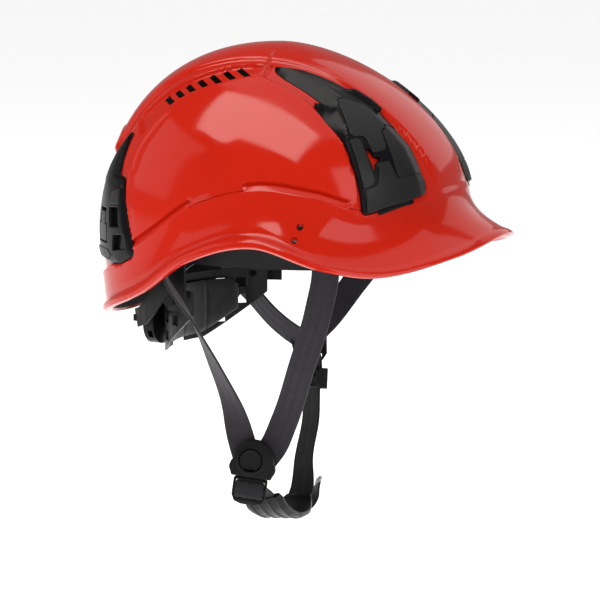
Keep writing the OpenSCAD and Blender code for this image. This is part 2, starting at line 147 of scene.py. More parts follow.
# ---------------------------------------------------------------- mesh helpers
def new_mesh(name, verts, faces, mat, body, smooth_angle=35.0, mirror=False):
    verts = np.asarray(verts, float) * MM
    if mirror:
        verts = verts * np.array([-1, 1, 1])
        faces = [tuple(reversed(f)) for f in faces]
    me = bpy.data.meshes.new(name)
    me.from_pydata([tuple(v) for v in verts], [], [tuple(int(i) for i in f) for f in faces])
    me.validate()
    me.update()
    ob = bpy.data.objects.new(name, me)
    bpy.context.collection.objects.link(ob)
    if mat:
        me.materials.append(mat)
    shade(ob, smooth_angle)
    if body:
        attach(ob, body)
    return ob


def shade(ob, angle=35.0):
    me = ob.data
    me.polygons.foreach_set("use_smooth", [True] * len(me.polygons))
    bm = bmesh.new()
    bm.from_mesh(me)
    bmesh.ops.recalc_face_normals(bm, faces=bm.faces)
    for e in bm.edges:
        e.smooth = not (len(e.link_faces) == 2 and e.calc_face_angle(0) > math.radians(angle))
    bm.to_mesh(me)
    bm.free()


def apply_mods(ob):
    dg = bpy.context.evaluated_depsgraph_get()
    me = bpy.data.meshes.new_from_object(ob.evaluated_get(dg))
    ob.modifiers.clear()
    ob.data = me


def cut(ob, cutter, keep=False, solver="MANIFOLD"):
    m = ob.modifiers.new("cut", "BOOLEAN")
    m.operation = "DIFFERENCE"
    m.object = cutter
    m.solver = solver
    apply_mods(ob)
    if not keep:
        bpy.data.objects.remove(cutter)


def round_corners(pts, r, n=4):
    """Closed outline with each corner rounded; r may be one radius or one per corner."""
    pts = np.asarray(pts, float)
    rs = [r] * len(pts) if np.isscalar(r) else r
    out = []
    for i, p in enumerate(pts):
        a, b = pts[i - 1] - p, pts[(i + 1) % len(pts)] - p
        la, lb = np.linalg.norm(a), np.linalg.norm(b)
        a, b = a / la, b / lb
        ang = math.acos(max(-1, min(1, float(a @ b))))
        if rs[i] <= 0 or ang > math.radians(172):
            out.append(p)
            continue
        d = min(rs[i] / math.tan(ang / 2), 0.45 * la, 0.45 * lb)
        p0, p1 = p + a * d, p + b * d
        for k in range(n + 1):
            t = k / n
            out.append((1 - t) ** 2 * p0 + 2 * t * (1 - t) * p + t * t * p1)
    return np.array(out)


def resample(pts, step, closed=True):
    pts = np.asarray(pts, float)
    q = np.vstack([pts, pts[:1]]) if closed else pts
    out = []
    for a, b in zip(q[:-1], q[1:]):
        k = max(1, int(round(np.linalg.norm(b - a) / step)))
        out += [a + (b - a) * i / k for i in range(k)]
    if not closed:
        out.append(q[-1])
    return np.array(out)


def signed_area(p):
    return 0.5 * np.sum(p[:, 0] * np.roll(p[:, 1], -1) - np.roll(p[:, 0], -1) * p[:, 1])


def edge_distance(q, poly, closed=True):
    a = poly
    b = np.roll(poly, -1, axis=0)
    if not closed:
        a, b = poly[:-1], poly[1:]
    best = np.full(len(q), 1e9)
    for i in range(len(a)):
        ab = b[i] - a[i]
        t = np.clip(((q - a[i]) @ ab) / max(ab @ ab, 1e-12), 0, 1)
        best = np.minimum(best, np.linalg.norm(q - a[i] - t[:, None] * ab, axis=1))
    return best


def inside_poly(q, poly):
    x, y = q[:, 0], q[:, 1]
    c = np.zeros(len(q), bool)
    j = len(poly) - 1
    for i in range(len(poly)):
        xi, yi, xj, yj = poly[i][0], poly[i][1], poly[j][0], poly[j][1]
        with np.errstate(divide="ignore", invalid="ignore"):
            c ^= ((yi > y) != (yj > y)) & (x < (xj - xi) * (y - yi) / (yj - yi + 1e-30) + xi)
        j = i
    return c


def slab(outline, height, bottom, place, edge=0.5, grid=1.8, holes=(), crest=(), corner=1.0, step=1.0):
    """A solid on a flat layout: outline filled with a fine mesh, top at height(uv) with a rounded
    edge, bottom at a fixed level. place(uv, h) gives the points in space."""
    rims = [resample(round_corners(outline, corner), step)]
    if signed_area(rims[0]) < 0:
        rims[0] = rims[0][::-1]
    for hole in holes:
        h = resample(round_corners(hole, 0.6), step)
        rims.append(h[::-1] if signed_area(h) > 0 else h)
    pts, cons = [], []
    loops = []
    for r in rims:
        n = len(r)
        i0 = len(pts)
        pts += list(r)
        cons += [(i0 + k, i0 + (k + 1) % n) for k in range(n)]
        loops.append((i0, n))
    for r in rims:
        tang = unit(np.roll(r, -1, 0) - np.roll(r, 1, 0))
        inward = np.stack([-tang[:, 1], tang[:, 0]], -1)
        for d in (0.3, 0.65, 1.0, 1.7):
            q = r + inward * d * edge
            ok = edge_distance(q, rims[0]) > 0.9 * d * edge
            for o in rims[1:]:
                ok &= edge_distance(q, o) > 0.9 * d * edge
            pts += list(q[ok])
    for c in crest:
        c = resample(np.asarray(c, float), step, closed=False)
        i0 = len(pts)
        pts += list(c)
        cons += [(i0 + k, i0 + k + 1) for k in range(len(c) - 1)]
    lo, hi = rims[0].min(0), rims[0].max(0)
    gx, gy = np.meshgrid(np.arange(lo[0], hi[0], grid), np.arange(lo[1], hi[1], grid))
    g = np.stack([gx.ravel() + (np.arange(gx.size) // gx.shape[1] % 2) * grid / 2, gy.ravel()], -1)
    ok = inside_poly(g, rims[0]) & (edge_distance(g, rims[0]) > 2.2 * edge)
    for o in rims[1:]:
        ok &= ~inside_poly(g, o) & (edge_distance(g, o) > 2.2 * edge)
    for c in crest:
        ok &= edge_distance(g, np.asarray(c, float), closed=False) > 0.5 * grid
    pts += list(g[ok])
    res = delaunay_2d_cdt([Vector((float(p[0]), float(p[1]))) for p in pts], cons, [], 0, 1e-5)
    v2 = np.array([[v.x, v.y] for v in res[0]])
    tri = [f for f in res[2] if len(f) == 3]
    cen = np.array([v2[list(f)].mean(0) for f in tri])
    keep = inside_poly(cen, rims[0])
    for o in rims[1:]:
        keep &= ~inside_poly(cen, o)
    tri = [f for f, k in zip(tri, keep) if k]
    dist = edge_distance(v2, rims[0])
    for o in rims[1:]:
        dist = np.minimum(dist, edge_distance(v2, o))
    h = height(v2) if callable(height) else np.full(len(v2), float(height))
    dd = np.clip(dist, 0, edge)
    h = h - edge + np.sqrt(np.maximum(edge ** 2 - (edge - dd) ** 2, 0))
    used = sorted({i for f in tri for i in f})
    remap = {o: i for i, o in enumerate(used)}
    v2, h = v2[used], h[used]
    top = [tuple(remap[i] for i in f) for f in tri]
    top = [f if np.cross(v2[f[1]] - v2[f[0]], v2[f[2]] - v2[f[0]]) > 0 else f[::-1] for f in top]
    n = len(v2)
    hb = bottom(v2) if callable(bottom) else np.full(n, float(bottom))
    verts = np.vstack([place(v2, h), place(v2, hb)])
    faces = list(top) + [tuple(n + i for i in reversed(f)) for f in top]
    count = {}
    for f in top:
        for a, b in zip(f, f[1:] + f[:1]):
            count[(a, b)] = 1
    for (a, b) in list(count):
        if (b, a) not in count:
            faces.append((b, a, n + a, n + b))
    return verts, faces


def ribbon(path, sides, width, thick, n=80, edge=6, bow=0.0):
    """Webbing swept along smooth knots. Returns verts, faces and length along per vertex."""
    path, sides = np.asarray(path, float), unit(np.asarray(sides, float))
    t = np.concatenate([[0], np.cumsum(np.linalg.norm(np.diff(path, axis=0), axis=1))])
    s = np.linspace(0, t[-1], n)
    p = np.stack([pchip(t, path[:, k], s) for k in range(3)], -1)
    sd = unit(np.stack([pchip(t, sides[:, k], s) for k in range(3)], -1))
    tan = unit(np.gradient(p, axis=0))
    nv = unit(np.cross(tan, sd))
    sv = unit(np.cross(nv, tan))
    prof = []
    hw, ht = width / 2, thick / 2
    for k in range(-12, 13):
        prof.append((hw * 0.94 * k / 12, ht))
    for k in range(1, edge):
        a = math.pi / 2 - math.pi * k / edge
        prof.append((hw * 0.94 + hw * 0.06 * math.cos(a), ht * math.sin(a)))
    for k in range(12, -13, -1):
        prof.append((hw * 0.94 * k / 12, -ht))
    for k in range(1, edge):
        a = -math.pi / 2 - math.pi * k / edge
        prof.append((-hw * 0.94 + hw * 0.06 * math.cos(a), ht * math.sin(a)))
    m = len(prof)
    verts = []
    for i in range(n):
        for (u, w) in prof:
            verts.append(p[i] + sv[i] * u + nv[i] * (w + bow * (1 - (u / hw) ** 2)))
    faces = [(i * m + j, i * m + (j + 1) % m, (i + 1) * m + (j + 1) % m, (i + 1) * m + j)
             for i in range(n - 1) for j in range(m)]
    faces += [tuple(range(m - 1, -1, -1)), tuple((n - 1) * m + j for j in range(m))]
    uv = [(prof[j][0], s[i]) for i in range(n) for j in range(m)]
    return np.array(verts), faces, uv


def pchip(x, y, q):
    """Smooth interpolation through points with Catmull-Rom slopes."""
    d = np.diff(y) / np.diff(x)
    sl = np.empty_like(y)
    sl[0], sl[-1] = d[0], d[-1]
    if len(y) > 2:
        w = np.diff(x)
        sl[1:-1] = (d[:-1] * w[1:] + d[1:] * w[:-1]) / (w[1:] + w[:-1])
    i = np.clip(np.searchsorted(x, q, side="right") - 1, 0, len(x) - 2)
    h = x[i + 1] - x[i]
    t = (q - x[i]) / h
    return (y[i] * (1 + 2 * t) * (1 - t) ** 2 + sl[i] * h * t * (1 - t) ** 2
            + y[i + 1] * t * t * (3 - 2 * t) + sl[i + 1] * h * t * t * (t - 1))


# ---------------------------------------------------------------- materials
def material(name, color, rough, bump=0.0, bump_scale=900.0, spec=0.5, coat=0.0, coat_rough=0.05,
             vary=0.0, vary_scale=18.0, rough_vary=0.0, metallic=0.0, sheen=0.0, edge=0.0):
    """Moulded or woven finish: colour and roughness drift, fine grain, and lighter worn edges."""
    m = bpy.data.materials.new(name)
    m.use_nodes = True
    nt = m.node_tree
    b = nt.nodes["Principled BSDF"]
    b.inputs["Base Color"].default_value = (*color, 1)
    b.inputs["Roughness"].default_value = rough
    b.inputs["Specular IOR Level"].default_value = spec
    b.inputs["Coat Weight"].default_value = coat
    b.inputs["Coat Roughness"].default_value = coat_rough
    b.inputs["Metallic"].default_value = metallic
    b.inputs["Sheen Weight"].default_value = sheen
    co = nt.nodes.new("ShaderNodeTexCoord")
    last = None
    if vary or edge:
        n = nt.nodes.new("ShaderNodeTexNoise")
        n.inputs["Scale"].default_value = vary_scale
        n.inputs["Detail"].default_value = 4
        nt.links.new(co.outputs["Object"], n.inputs["Vector"])
        mr = nt.nodes.new("ShaderNodeMapRange")
        mr.inputs["From Min"].default_value, mr.inputs["From Max"].default_value = 0.3, 0.7
        mr.inputs["To Min"].default_value, mr.inputs["To Max"].default_value = 1 - vary, 1 + vary
        nt.links.new(n.outputs["Fac"], mr.inputs["Value"])
        mx = nt.nodes.new("ShaderNodeVectorMath")
        mx.operation = "SCALE"
        mx.inputs[0].default_value = color
        nt.links.new(mr.outputs["Result"], mx.inputs["Scale"])
        last = mx.outputs[0]
        if edge:
            g = nt.nodes.new("ShaderNodeNewGeometry")
            er = nt.nodes.new("ShaderNodeMapRange")
            er.inputs["From Min"].default_value, er.inputs["From Max"].default_value = 0.53, 0.62
            nt.links.new(g.outputs["Pointiness"], er.inputs["Value"])
            sc = nt.nodes.new("ShaderNodeMath")
            sc.operation = "MULTIPLY"
            sc.inputs[1].default_value = edge
            nt.links.new(er.outputs["Result"], sc.inputs[0])
            mixc = nt.nodes.new("ShaderNodeMix")
            mixc.data_type = "RGBA"
            nt.links.new(sc.outputs[0], mixc.inputs["Factor"])
            nt.links.new(last, mixc.inputs["A"])
            mixc.inputs["B"].default_value = (*[min(1, c * 1.6 + 0.05) for c in color], 1)
            last = mixc.outputs["Result"]
        nt.links.new(last, b.inputs["Base Color"])
    if rough_vary:
        n2 = nt.nodes.new("ShaderNodeTexNoise")
        n2.inputs["Scale"].default_value = vary_scale * 3.1
        n2.inputs["Detail"].default_value = 5
        nt.links.new(co.outputs["Object"], n2.inputs["Vector"])
        mr2 = nt.nodes.new("ShaderNodeMapRange")
        mr2.inputs["From Min"].default_value, mr2.inputs["From Max"].default_value = 0.3, 0.7
        mr2.inputs["To Min"].default_value = max(0.02, rough - rough_vary)
        mr2.inputs["To Max"].default_value = rough + rough_vary
        nt.links.new(n2.outputs["Fac"], mr2.inputs["Value"])
        nt.links.new(mr2.outputs["Result"], b.inputs["Roughness"])
    if bump:
        n3 = nt.nodes.new("ShaderNodeTexNoise")
        n3.inputs["Scale"].default_value = bump_scale
        n3.inputs["Detail"].default_value = 3
        nt.links.new(co.outputs["Object"], n3.inputs["Vector"])
        bp = nt.nodes.new("ShaderNodeBump")
        bp.inputs["Strength"].default_value = bump
        bp.inputs["Distance"].default_value = 0.0003
        nt.links.new(n3.outputs["Fac"], bp.inputs["Height"])
        nt.links.new(bp.outputs["Normal"], b.inputs["Normal"])
    return m


RED = material("gloss_red_abs", (0.52, 0.012, 0.002), 0.11, bump=0.015, bump_scale=60, spec=0.32,
               coat=0.0, coat_rough=0.05, vary=0.05, vary_scale=9, rough_vary=0.04, edge=0.12)
# near-black matt material for the shell's inner faces and vent walls: painted shade for the shadow inside the shell
PAINTED_SHADE_INSIDE = material("painted_shade_inside", (0.006, 0.0055, 0.0055), 0.6, bump=0.2, bump_scale=900, spec=0.15, vary=0.2, vary_scale=30)
NYLON = material("satin_black_nylon", (0.005, 0.005, 0.006), 0.24, bump=0.10, bump_scale=1500,
                 spec=0.12, vary=0.08, vary_scale=40, rough_vary=0.03, edge=0.15)
FACE = material("satin_grey_nylon", (0.013, 0.0135, 0.0135), 0.36, bump=0.16, bump_scale=2200,
                spec=0.24, vary=0.12, vary_scale=60, rough_vary=0.06, edge=0.35)
STRIP = material("matt_black_strip", (0.006, 0.006, 0.007), 0.34, bump=0.12, bump_scale=1300,
                 spec=0.09, vary=0.15, vary_scale=45, rough_vary=0.08, edge=0.3)
ACETAL = material("satin_black_acetal", (0.007, 0.0072, 0.0072), 0.4, bump=0.14, bump_scale=1800,
                  spec=0.10, vary=0.15, vary_scale=70, rough_vary=0.06, edge=0.35)

# ---------------------------------------------------------------- shell
PSI_W = [-75, -60, -40, -20, 0, 15, 30, 45, 55, 62]
W_RIDGE = [24, 27, 31, 34, 37, 43, 47, 53, 57, 57]
PSI_P = [-1, 10, 23, 39, 49, 59, 72]
W_PANEL = [54, 61, 66, 73, 76, 81, 87]
AF_Z = [30, 45, 61, 71, 86, 96, 104, 109]
AF_A = [40, 40, 41, 42, 48, 55, 65, 80]
AB_Z = [-12, -4, 6, 25, 46]
AB_A = [126, 127, 128, 131, 134]


CLIP_F = [(-36.6, 63.2), (-30.1, 62.3), (-20.7, 56.3), (-8.7, 44.7), (3.5, 32), (14.4, 20.4), (20.4, 10.8),
          (26.8, -0.8), (34.8, -14.7), (37.8, -30.4), (39.7, -38.4), (39.7, -43.4), (36.4, -46.6), (18.7, -53.4),
          (-4.3, -57.8), (-9.8, -58), (-12, -55.7), (-12.2, -46.9), (-12.6, -39.2), (-14.2, -26.6), (-15.5, -12.8),
          (-17.6, -6.4), (-22.4, 5.9), (-24.9, 16), (-25.6, 21.6), (-18.2, 17.4), (-18.4, 18.8), (-22.4, 26.2),
          (-28, 37.4), (-34.7, 50.4), (-36.8, 57.8)]
RIDGE1 = [(-35.8, 62), (-32.1, 60.2), (-26, 52), (-20.4, 43.4), (-13.8, 31.8), (-9.6, 23), (-10.4, 14)]
RIDGE2 = [(-25, 20.4), (-18, 16.5), (-11, 12.6), (-11.0, 0), (-12.6, -14.7), (-10.0, -44.6), (-8.9, -57)]
RIM_FACE = [(-9.6, 22.6), (-0.4, 19.6), (7.4, 15.4), (14.6, 8), (16.4, -0.8), (26.4, -1.2)]
CLIP_R = [(6.8, 47), (8, 43.7), (8.2, 33.8), (9.6, 23.5), (11, 17.4), (20.6, 16), (24.6, 4.9), (29.4, -4.5),
          (32.9, -14.1), (36.4, -23.5), (38.2, -31.2), (36.9, -34.6), (22.6, -41.5), (10.4, -43), (-5, -41.5),
          (-12, -36), (-14.5, -24), (-14.5, -8), (-12.5, 6), (-8, 20), (-2, 32), (4, 42)]


def seat(p, a, z, outline):
    """1 inside a clip's footprint on the dome, 0 outside."""
    o, x, y, n = local(a, z)
    q = p.reshape(-1, 3) - o
    uv = np.stack([q @ x, q @ y], -1)
    near = (q @ n > -60) & (np.abs(uv[:, 0]) < 60) & (np.abs(uv[:, 1]) < 75)
    out = np.zeros(len(uv))
    poly = np.array(outline, float)
    sd = edge_distance(uv[near], poly) * np.where(inside_poly(uv[near], poly), 1, -1)
    out[near] = smooth(sd / 1.6 + 0.5)
    return out.reshape(p.shape[:-1])


def features(a, z):
    """Height of the moulded relief over the plain shell."""
    f = fold(a)
    p = onp(a, z)
    x, y = np.abs(p[..., 0]), p[..., 1]
    psi = np.degrees(np.arctan2(y, z))
    r = rad(a, z)
    k = math.pi / 180
    # crown ridge with its stepped rear end
    w = line(PSI_W, W_RIDGE, psi)
    d = np.minimum(w - x, (61 - psi) * k * 118 * 0.8)
    h = 2.3 * smooth(d / 2.6 + 0.5) * smooth(z, 34, 58)
    tab = smooth((x - 40) / 1.2) * smooth((63 - psi) * 1.6) * smooth((psi - 54) * 1.2) * smooth((w - 1 - x) / 1.2 + 0.5)
    h = h + 0.9 * tab
    # side panel
    wp = line(PSI_P, W_PANEL, psi)
    top = np.where(psi > -2.5, x - wp, 99.0)
    top = np.where(z < 46, 99.0, top)
    back = np.where(z < 50, (line(AB_Z, AB_A, z) - f) * k * r, 99.0)
    front = (f - line(AF_Z, AF_A, z)) * k * r
    front = np.where(z > 109.5, np.minimum(front, (f - 80) * k * r), front)
    side = np.minimum(np.minimum(top, back), front)
    zc = lut(CREASE, f)
    t = (z - zc) * 0.96
    # ledge over the brim, with a plain notch amidships
    ledge = smooth((f - 44.5) / 0.9 + 0.5) * smooth((80 - f) / 0.9 + 0.5) + smooth((f - 101) / 0.9 + 0.5) * smooth((126.5 - f) / 1.5 + 0.5)
    low = t - 5.0 * ledge - 0.4
    panel = smooth(side / 3.0 + 0.5) * smooth(low / 1.5 + 0.35)
    h = h + 1.9 * panel
    # edge bead inside the rear of the panel, and the soft upright crease above the notch
    bead = np.exp(-(((side - 5.2) / 1.5) ** 2)) * smooth((f - 108) / 10) * smooth((t - 8) / 4)
    h = h - 0.35 * bead * smooth(psi, 20, 40)
    up = line([27, 45, 62, 80], [97, 94, 90.5, 87], z)
    da = (f - up) * k * r
    fade = smooth(t / 6) * smooth((84 - z) / 24)
    h = h + 1.0 * fade * np.where(da < 0, smooth(da / 9 + 1), np.exp(-((da / 16) ** 2)))
    # brim band standing proud below the crease
    proud = 2.9 * smooth((f - 30) / 14) + 0.9 * (1 - smooth((f - 30) / 14))
    step = np.where(t < 0, 1.0, (1 - smooth(t / 0.9)) * (1 - ledge) + ledge * np.clip(1 - t / 4.6, 0, 1))
    soft = 1 - smooth(t / 5 + 0.5)
    fr = smooth((f - 34) / 8)
    h = h + proud * (fr * step + (1 - fr) * soft)
    h = h - 0.5 * ledge * np.exp(-(((t - 4.9) / 0.7) ** 2))
    # vent groove
    gd = np.minimum(np.minimum(x - line([-6, 5, 15, 24, 33, 46], [40.5, 44.3, 50, 54, 56.8, 60], psi), wp - 0.8 - x), np.minimum((psi + 5.5) * k * 116, (45.5 - psi) * k * 118))
    gd = np.where(z > 60, gd, -9)
    h = h - 2.3 * smooth(gd / 1.5 + 0.5)
    # the lamp clips sit flush in their own seats
    pm = p * np.array([1, 1, 1.0])
    pm[..., 0] = -np.abs(pm[..., 0])
    sf, sr = seat(pm, 34, 80, CLIP_F), seat(pm, 144, 25, CLIP_R)
    h = h * (1 - sf) * (1 - sr) - 0.9 * (sf + sr)
    # rolled lip along the rim
    zr = lut(RIM, f)
    q = (z - zr)
    lip = smooth((f - 52) / 14)
    h = h + lip * 1.5 * smooth((5.6 - q) / 2.2) - lip * 0.7 * np.exp(-(((q - 7.5) / 2.5) ** 2))
    h = h + (1 - lip) * 0.5 * smooth((3.5 - q) / 2)
    # taper the rim to a rounded edge
    h = h - 1.1 * np.clip(1 - q / 1.3, 0, 1) ** 2
    return h


VENTS = [(131.3, 92.9), (127.9, 97.4), (124, 101.3), (119, 104.8), (113.4, 108), (106.3, 110.7), (97, 112.6)]


def build_shell():
    nj = 480
    az = np.arange(nj) * 360.0 / nj
    rings, inner = [], []
    na, nl, nb, nc = 140, 18, 7, 26
    for a in az:
        zc, zr = float(lut(CREASE, fold(a))), float(lut(RIM, fold(a)))
        u = np.linspace(0, 1, 400)
        z0, m = z0_m(a)
        zz = zc + 8.5 + (CROWN - zc - 8.5) * np.cos(u * math.pi / 2) ** (2 / m)
        rr = rad(a, zz)
        s = np.concatenate([[0], np.cumsum(np.hypot(np.diff(rr), np.diff(zz)))])
        z1 = np.interp(np.linspace(0, s[-1], na + 1)[1:], s, zz)
        z2 = zc + 8.5 * (1 - np.arange(1, nl + 1) / nl)
        z3 = zc - 3.0 * np.arange(1, nb + 1) / nb
        t = np.arange(1, nc + 1) / nc
        z4 = zc - 3.0 + (zr - zc + 3.0) * (0.55 * t + 0.45 * (1 - (1 - t) ** 2))
        rings.append(np.concatenate([z1, z2, z3, z4]))
        inner.append(np.concatenate([z4[::-1][1::3], z2[::-1][::6], z1[::-1][::7]]))
    z = np.array(rings).T
    a2 = np.broadcast_to(az, z.shape)
    n = normal(a2, z)
    top = onp(a2, z) + n * features(a2, z)[..., None]
    # soften the crown cap where the normals meet
    zi = np.array(inner).T
    ai = np.broadcast_to(az, zi.shape)
    bot = onp(ai, zi) - normal(ai, zi) * WALL
    # rim: a rounded bridge from outer to inner wall
    o, i0 = top[-1], onp(az, z[-1]) - n[-1] * (WALL - 0.9)
    i1 = onp(az, z[-1] + 1.4) - normal(az, z[-1] + 1.4) * WALL
    mid = (o + i0) / 2 + np.array([0, 0, -0.55])
    layers = list(top) + [o * 0.72 + i0 * 0.28 + np.array([0, 0, -0.42]), mid,
                          o * 0.28 + i0 * 0.72 + np.array([0, 0, -0.42]), i0, i1] + list(bot)
    verts = [np.array([[0, 0, CROWN + 1.9]])] + layers + [np.array([[0, 0, CROWN - WALL]])]
    verts = np.vstack(verts)
    L = len(layers)
    q = lambda i, j: 1 + i * nj + j % nj
    faces = [(0, q(0, j + 1), q(0, j)) for j in range(nj)]
    faces += [(q(i, j), q(i, j + 1), q(i + 1, j + 1), q(i + 1, j)) for i in range(L - 1) for j in range(nj)]
    faces += [(len(verts) - 1, q(L - 1, j), q(L - 1, j + 1)) for j in range(nj)]
    ob = new_mesh("shell_skin", verts, faces, RED, None, 50)
    # vent slots and accessory holes
    cutters = []
    for s in (1, -1):
        for k in range(7):
            fr = local(*VENTS[k])
            cutters.append(box_cutter(fr, 4.1, 14.6, 16, 69 - 3.4 * k, s))
        for a, zz in ((60, 17), (62, 8.5)):
            cutters.append(drill(local(a, zz), 2.0, s))
    join = bpy.data.objects.new("cutter", bpy.data.meshes.new("cutter"))
    bpy.context.collection.objects.link(join)
    bm = bmesh.new()
    for vs, fs in cutters:
        base = [bm.verts.new(v * MM) for v in vs]
        for f in fs:
            bm.faces.new([base[i] for i in f])
    bmesh.ops.recalc_face_normals(bm, faces=bm.faces)
    bm.to_mesh(join.data)
    bm.free()
    cut(ob, join)
    # the inside above the rim band and the walls of the vents get a matt near-black material: painted shade standing in
    # for the shadow inside the shell and down the vents
    me = ob.data
    me.materials.append(PAINTED_SHADE_INSIDE)
    dark = len(me.materials) - 1
    c = np.array([list(q.center) for q in me.polygons]) / MM
    nn = np.array([list(q.normal) for q in me.polygons])
    out = c - np.array([0, 0, 8.0])
    out /= np.linalg.norm(out, axis=1)[:, None]
    facing = (out * nn).sum(1)
    up = c[:, 2] - lut(RIM, fold(np.degrees(np.arctan2(-c[:, 0], -c[:, 1]))))
    slot = np.zeros(len(c), bool)
    for k, (a, zz) in enumerate(VENTS):
        p, x, y, n = local(a, zz)
        t = math.radians(69 - 3.4 * k)
        e = c * [1, 1, 1] * np.where(c[:, :1] > 0, [[-1, 1, 1]], [[1, 1, 1]]) - p
        slot |= (np.abs(e @ (math.cos(t) * x + math.sin(t) * y)) < 2.15) & (np.abs(e @ (math.cos(t) * y - math.sin(t) * x)) < 7.4) \
            & (np.abs(e @ n) < 8)
    # painted shade: inward-facing faces above the rim band and the vent walls take the near-black material
    for i in np.nonzero(((facing < -0.2) & (up > 2.5)) | slot)[0]:
        me.polygons[int(i)].material_index = dark
    shade(ob, 42)
    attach(ob, "helmet")
    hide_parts("shell")
    return ob


def box_cutter(fr, w, d, h, spin, s):
    p, x, y, n = fr
    c, si = math.cos(math.radians(spin)), math.sin(math.radians(spin))
    u, v = c * x + si * y, c * y - si * x
    out = round_corners([(-w / 2, -d / 2), (w / 2, -d / 2), (w / 2, d / 2), (-w / 2, d / 2)], 0.9, 3)
    k = len(out)
    vs = [p + u * q[0] + v * q[1] + n * (-h / 2) for q in out] + [p + u * q[0] + v * q[1] + n * (h / 2) for q in out]
    fs = [tuple(range(k))[::-1], tuple(range(k, 2 * k))] + [(i, (i + 1) % k, k + (i + 1) % k, k + i) for i in range(k)]
    return np.array(vs) * np.array([s, 1, 1]), fs


def drill(fr, r, s):
    """Hole cutter with a small countersink outside."""
    p, x, y, n = fr
    k = 28
    prof = [(-9, r), (2.1, r), (2.9, r + 0.5), (6.5, r + 0.5)]
    vs, fs = [], []
    for h, rr in prof:
        vs += [p + rr * (math.cos(2 * math.pi * i / k) * x + math.sin(2 * math.pi * i / k) * y) + n * h for i in range(k)]
    for q in range(3):
        fs += [(q * k + i, q * k + (i + 1) % k, (q + 1) * k + (i + 1) % k, (q + 1) * k + i) for i in range(k)]
    fs += [tuple(range(k))[::-1], tuple(range(3 * k, 4 * k))]
    return np.array(vs) * np.array([s, 1, 1]), fs


build_shell()
# ---------------------------------------------------------------- lamp clips
HV = [-60, -40, 0, 20, 35, 50, 60, 64]
HT = [3.3, 3.5, 3.6, 3.6, 3.2, 2.6, 2.0, 1.5]


def side_of(q, poly):
    """Signed distance to an open line, positive on its left."""
    a, b = poly[:-1], poly[1:]
    best, sgn = np.full(len(q), 1e9), np.zeros(len(q))
    for i in range(len(a)):
        ab = b[i] - a[i]
        t = np.clip(((q - a[i]) @ ab) / (ab @ ab), 0, 1)
        d = np.linalg.norm(q - a[i] - t[:, None] * ab, axis=1)
        cr = ab[0] * (q[:, 1] - a[i][1]) - ab[1] * (q[:, 0] - a[i][0])
        m = d < best - 1e-9
        best, sgn = np.where(m, d, best), np.where(m, np.sign(cr), sgn)
    return best * sgn


INNER = np.array([(-30.1, 62.3), (-20.7, 56.3), (-8.7, 44.7), (3.5, 32), (14.4, 20.4), (20.4, 10.8), (26.8, -0.8),
                  (34.8, -14.7), (37.8, -30.4), (39.7, -38.4), (39.7, -43.4)])
OUT1 = np.array([(-36.8, 60), (-34.7, 50.4), (-28, 37.4), (-22.4, 26.2), (-18.4, 18.4), (-14, 10)])
OUT2 = np.array([(-25.6, 21.6), (-24.9, 16), (-22.4, 5.9), (-17.6, -6.4), (-15.5, -12.8), (-14.2, -26.6), (-12.6, -39.2),
                 (-12.2, -46.9), (-12, -58)])


def front_top(q):
    d = edge_distance(q, INNER, closed=False)
    return np.minimum(line(HV, HT, q[:, 1]), 0.2 + 0.34 * d + 0.7 * smooth(q[:, 1], 8, 14))


def front_height(q):
    top = front_top(q)
    r1, r2, rf = np.array(RIDGE1, float), np.array(RIDGE2, float), np.array(RIM_FACE, float)
    s1, s2 = -side_of(q, r1), -side_of(q, r2)
    above = q[:, 1] > np.interp(q[:, 0], [-26, -25, -18, -11, -10], [21.5, 20.6, 16.8, 12.8, 12.4])
    left1, left2 = above & (s1 > 0), ~above & (s2 > 0)
    e1, e2 = edge_distance(q, OUT1, closed=False), edge_distance(q, OUT2, closed=False)
    face = side_of(q, rf) < 0
    near = np.minimum(np.minimum(np.abs(s1), np.abs(s2)), edge_distance(q, rf, closed=False))
    h = top - np.where(face, 0.95 * np.clip(near / 0.6, 0, 1), 0)
    crest = 0.9 * line([-50, -20, 20, 50], [0.2, 0.5, 1, 1], q[:, 1])
    h = np.where(left1, -0.2 + (top + crest + 0.2) * e1 / (e1 + s1 + 1e-6), h)
    h = np.where(left2, -0.2 + (top + crest * 0.6 + 0.2) * e2 / (e2 + s2 + 1e-6), h)
    d1, d2 = np.maximum(-s1, 0), edge_distance(q, INNER, closed=False)
    dark = above & (s1 <= 0) & ~face
    dip = 1.5 * np.clip(4 * d1 * d2 / (d1 + d2 + 1e-6) ** 2, 0, 1) * smooth(d1 + d2, 3, 12)
    h = np.where(dark, h - dip + crest * np.clip(1 - d1 / 1.4, 0, 1), h)
    lip = (1 - smooth((d2 - 1.0) / 5.0)) * smooth((q[:, 1] - 9.5) / 2.5) * smooth((34 - q[:, 1]) / 5.0)
    return h + np.where(dark, 3.3 * lip, 0)


def clip_piece(name, fr, outline, height, mat, body, side, node=None, slot="clip_black", **kw):
    v, f = slab(outline, height, kw.pop("bottom", -0.9), lambda q, h: drape(fr, q, h), **kw)
    ob = new_mesh(name + side, v, f, mat, body, 38, mirror=side == "_l")
    if node:
        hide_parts(node + side)
    return ob


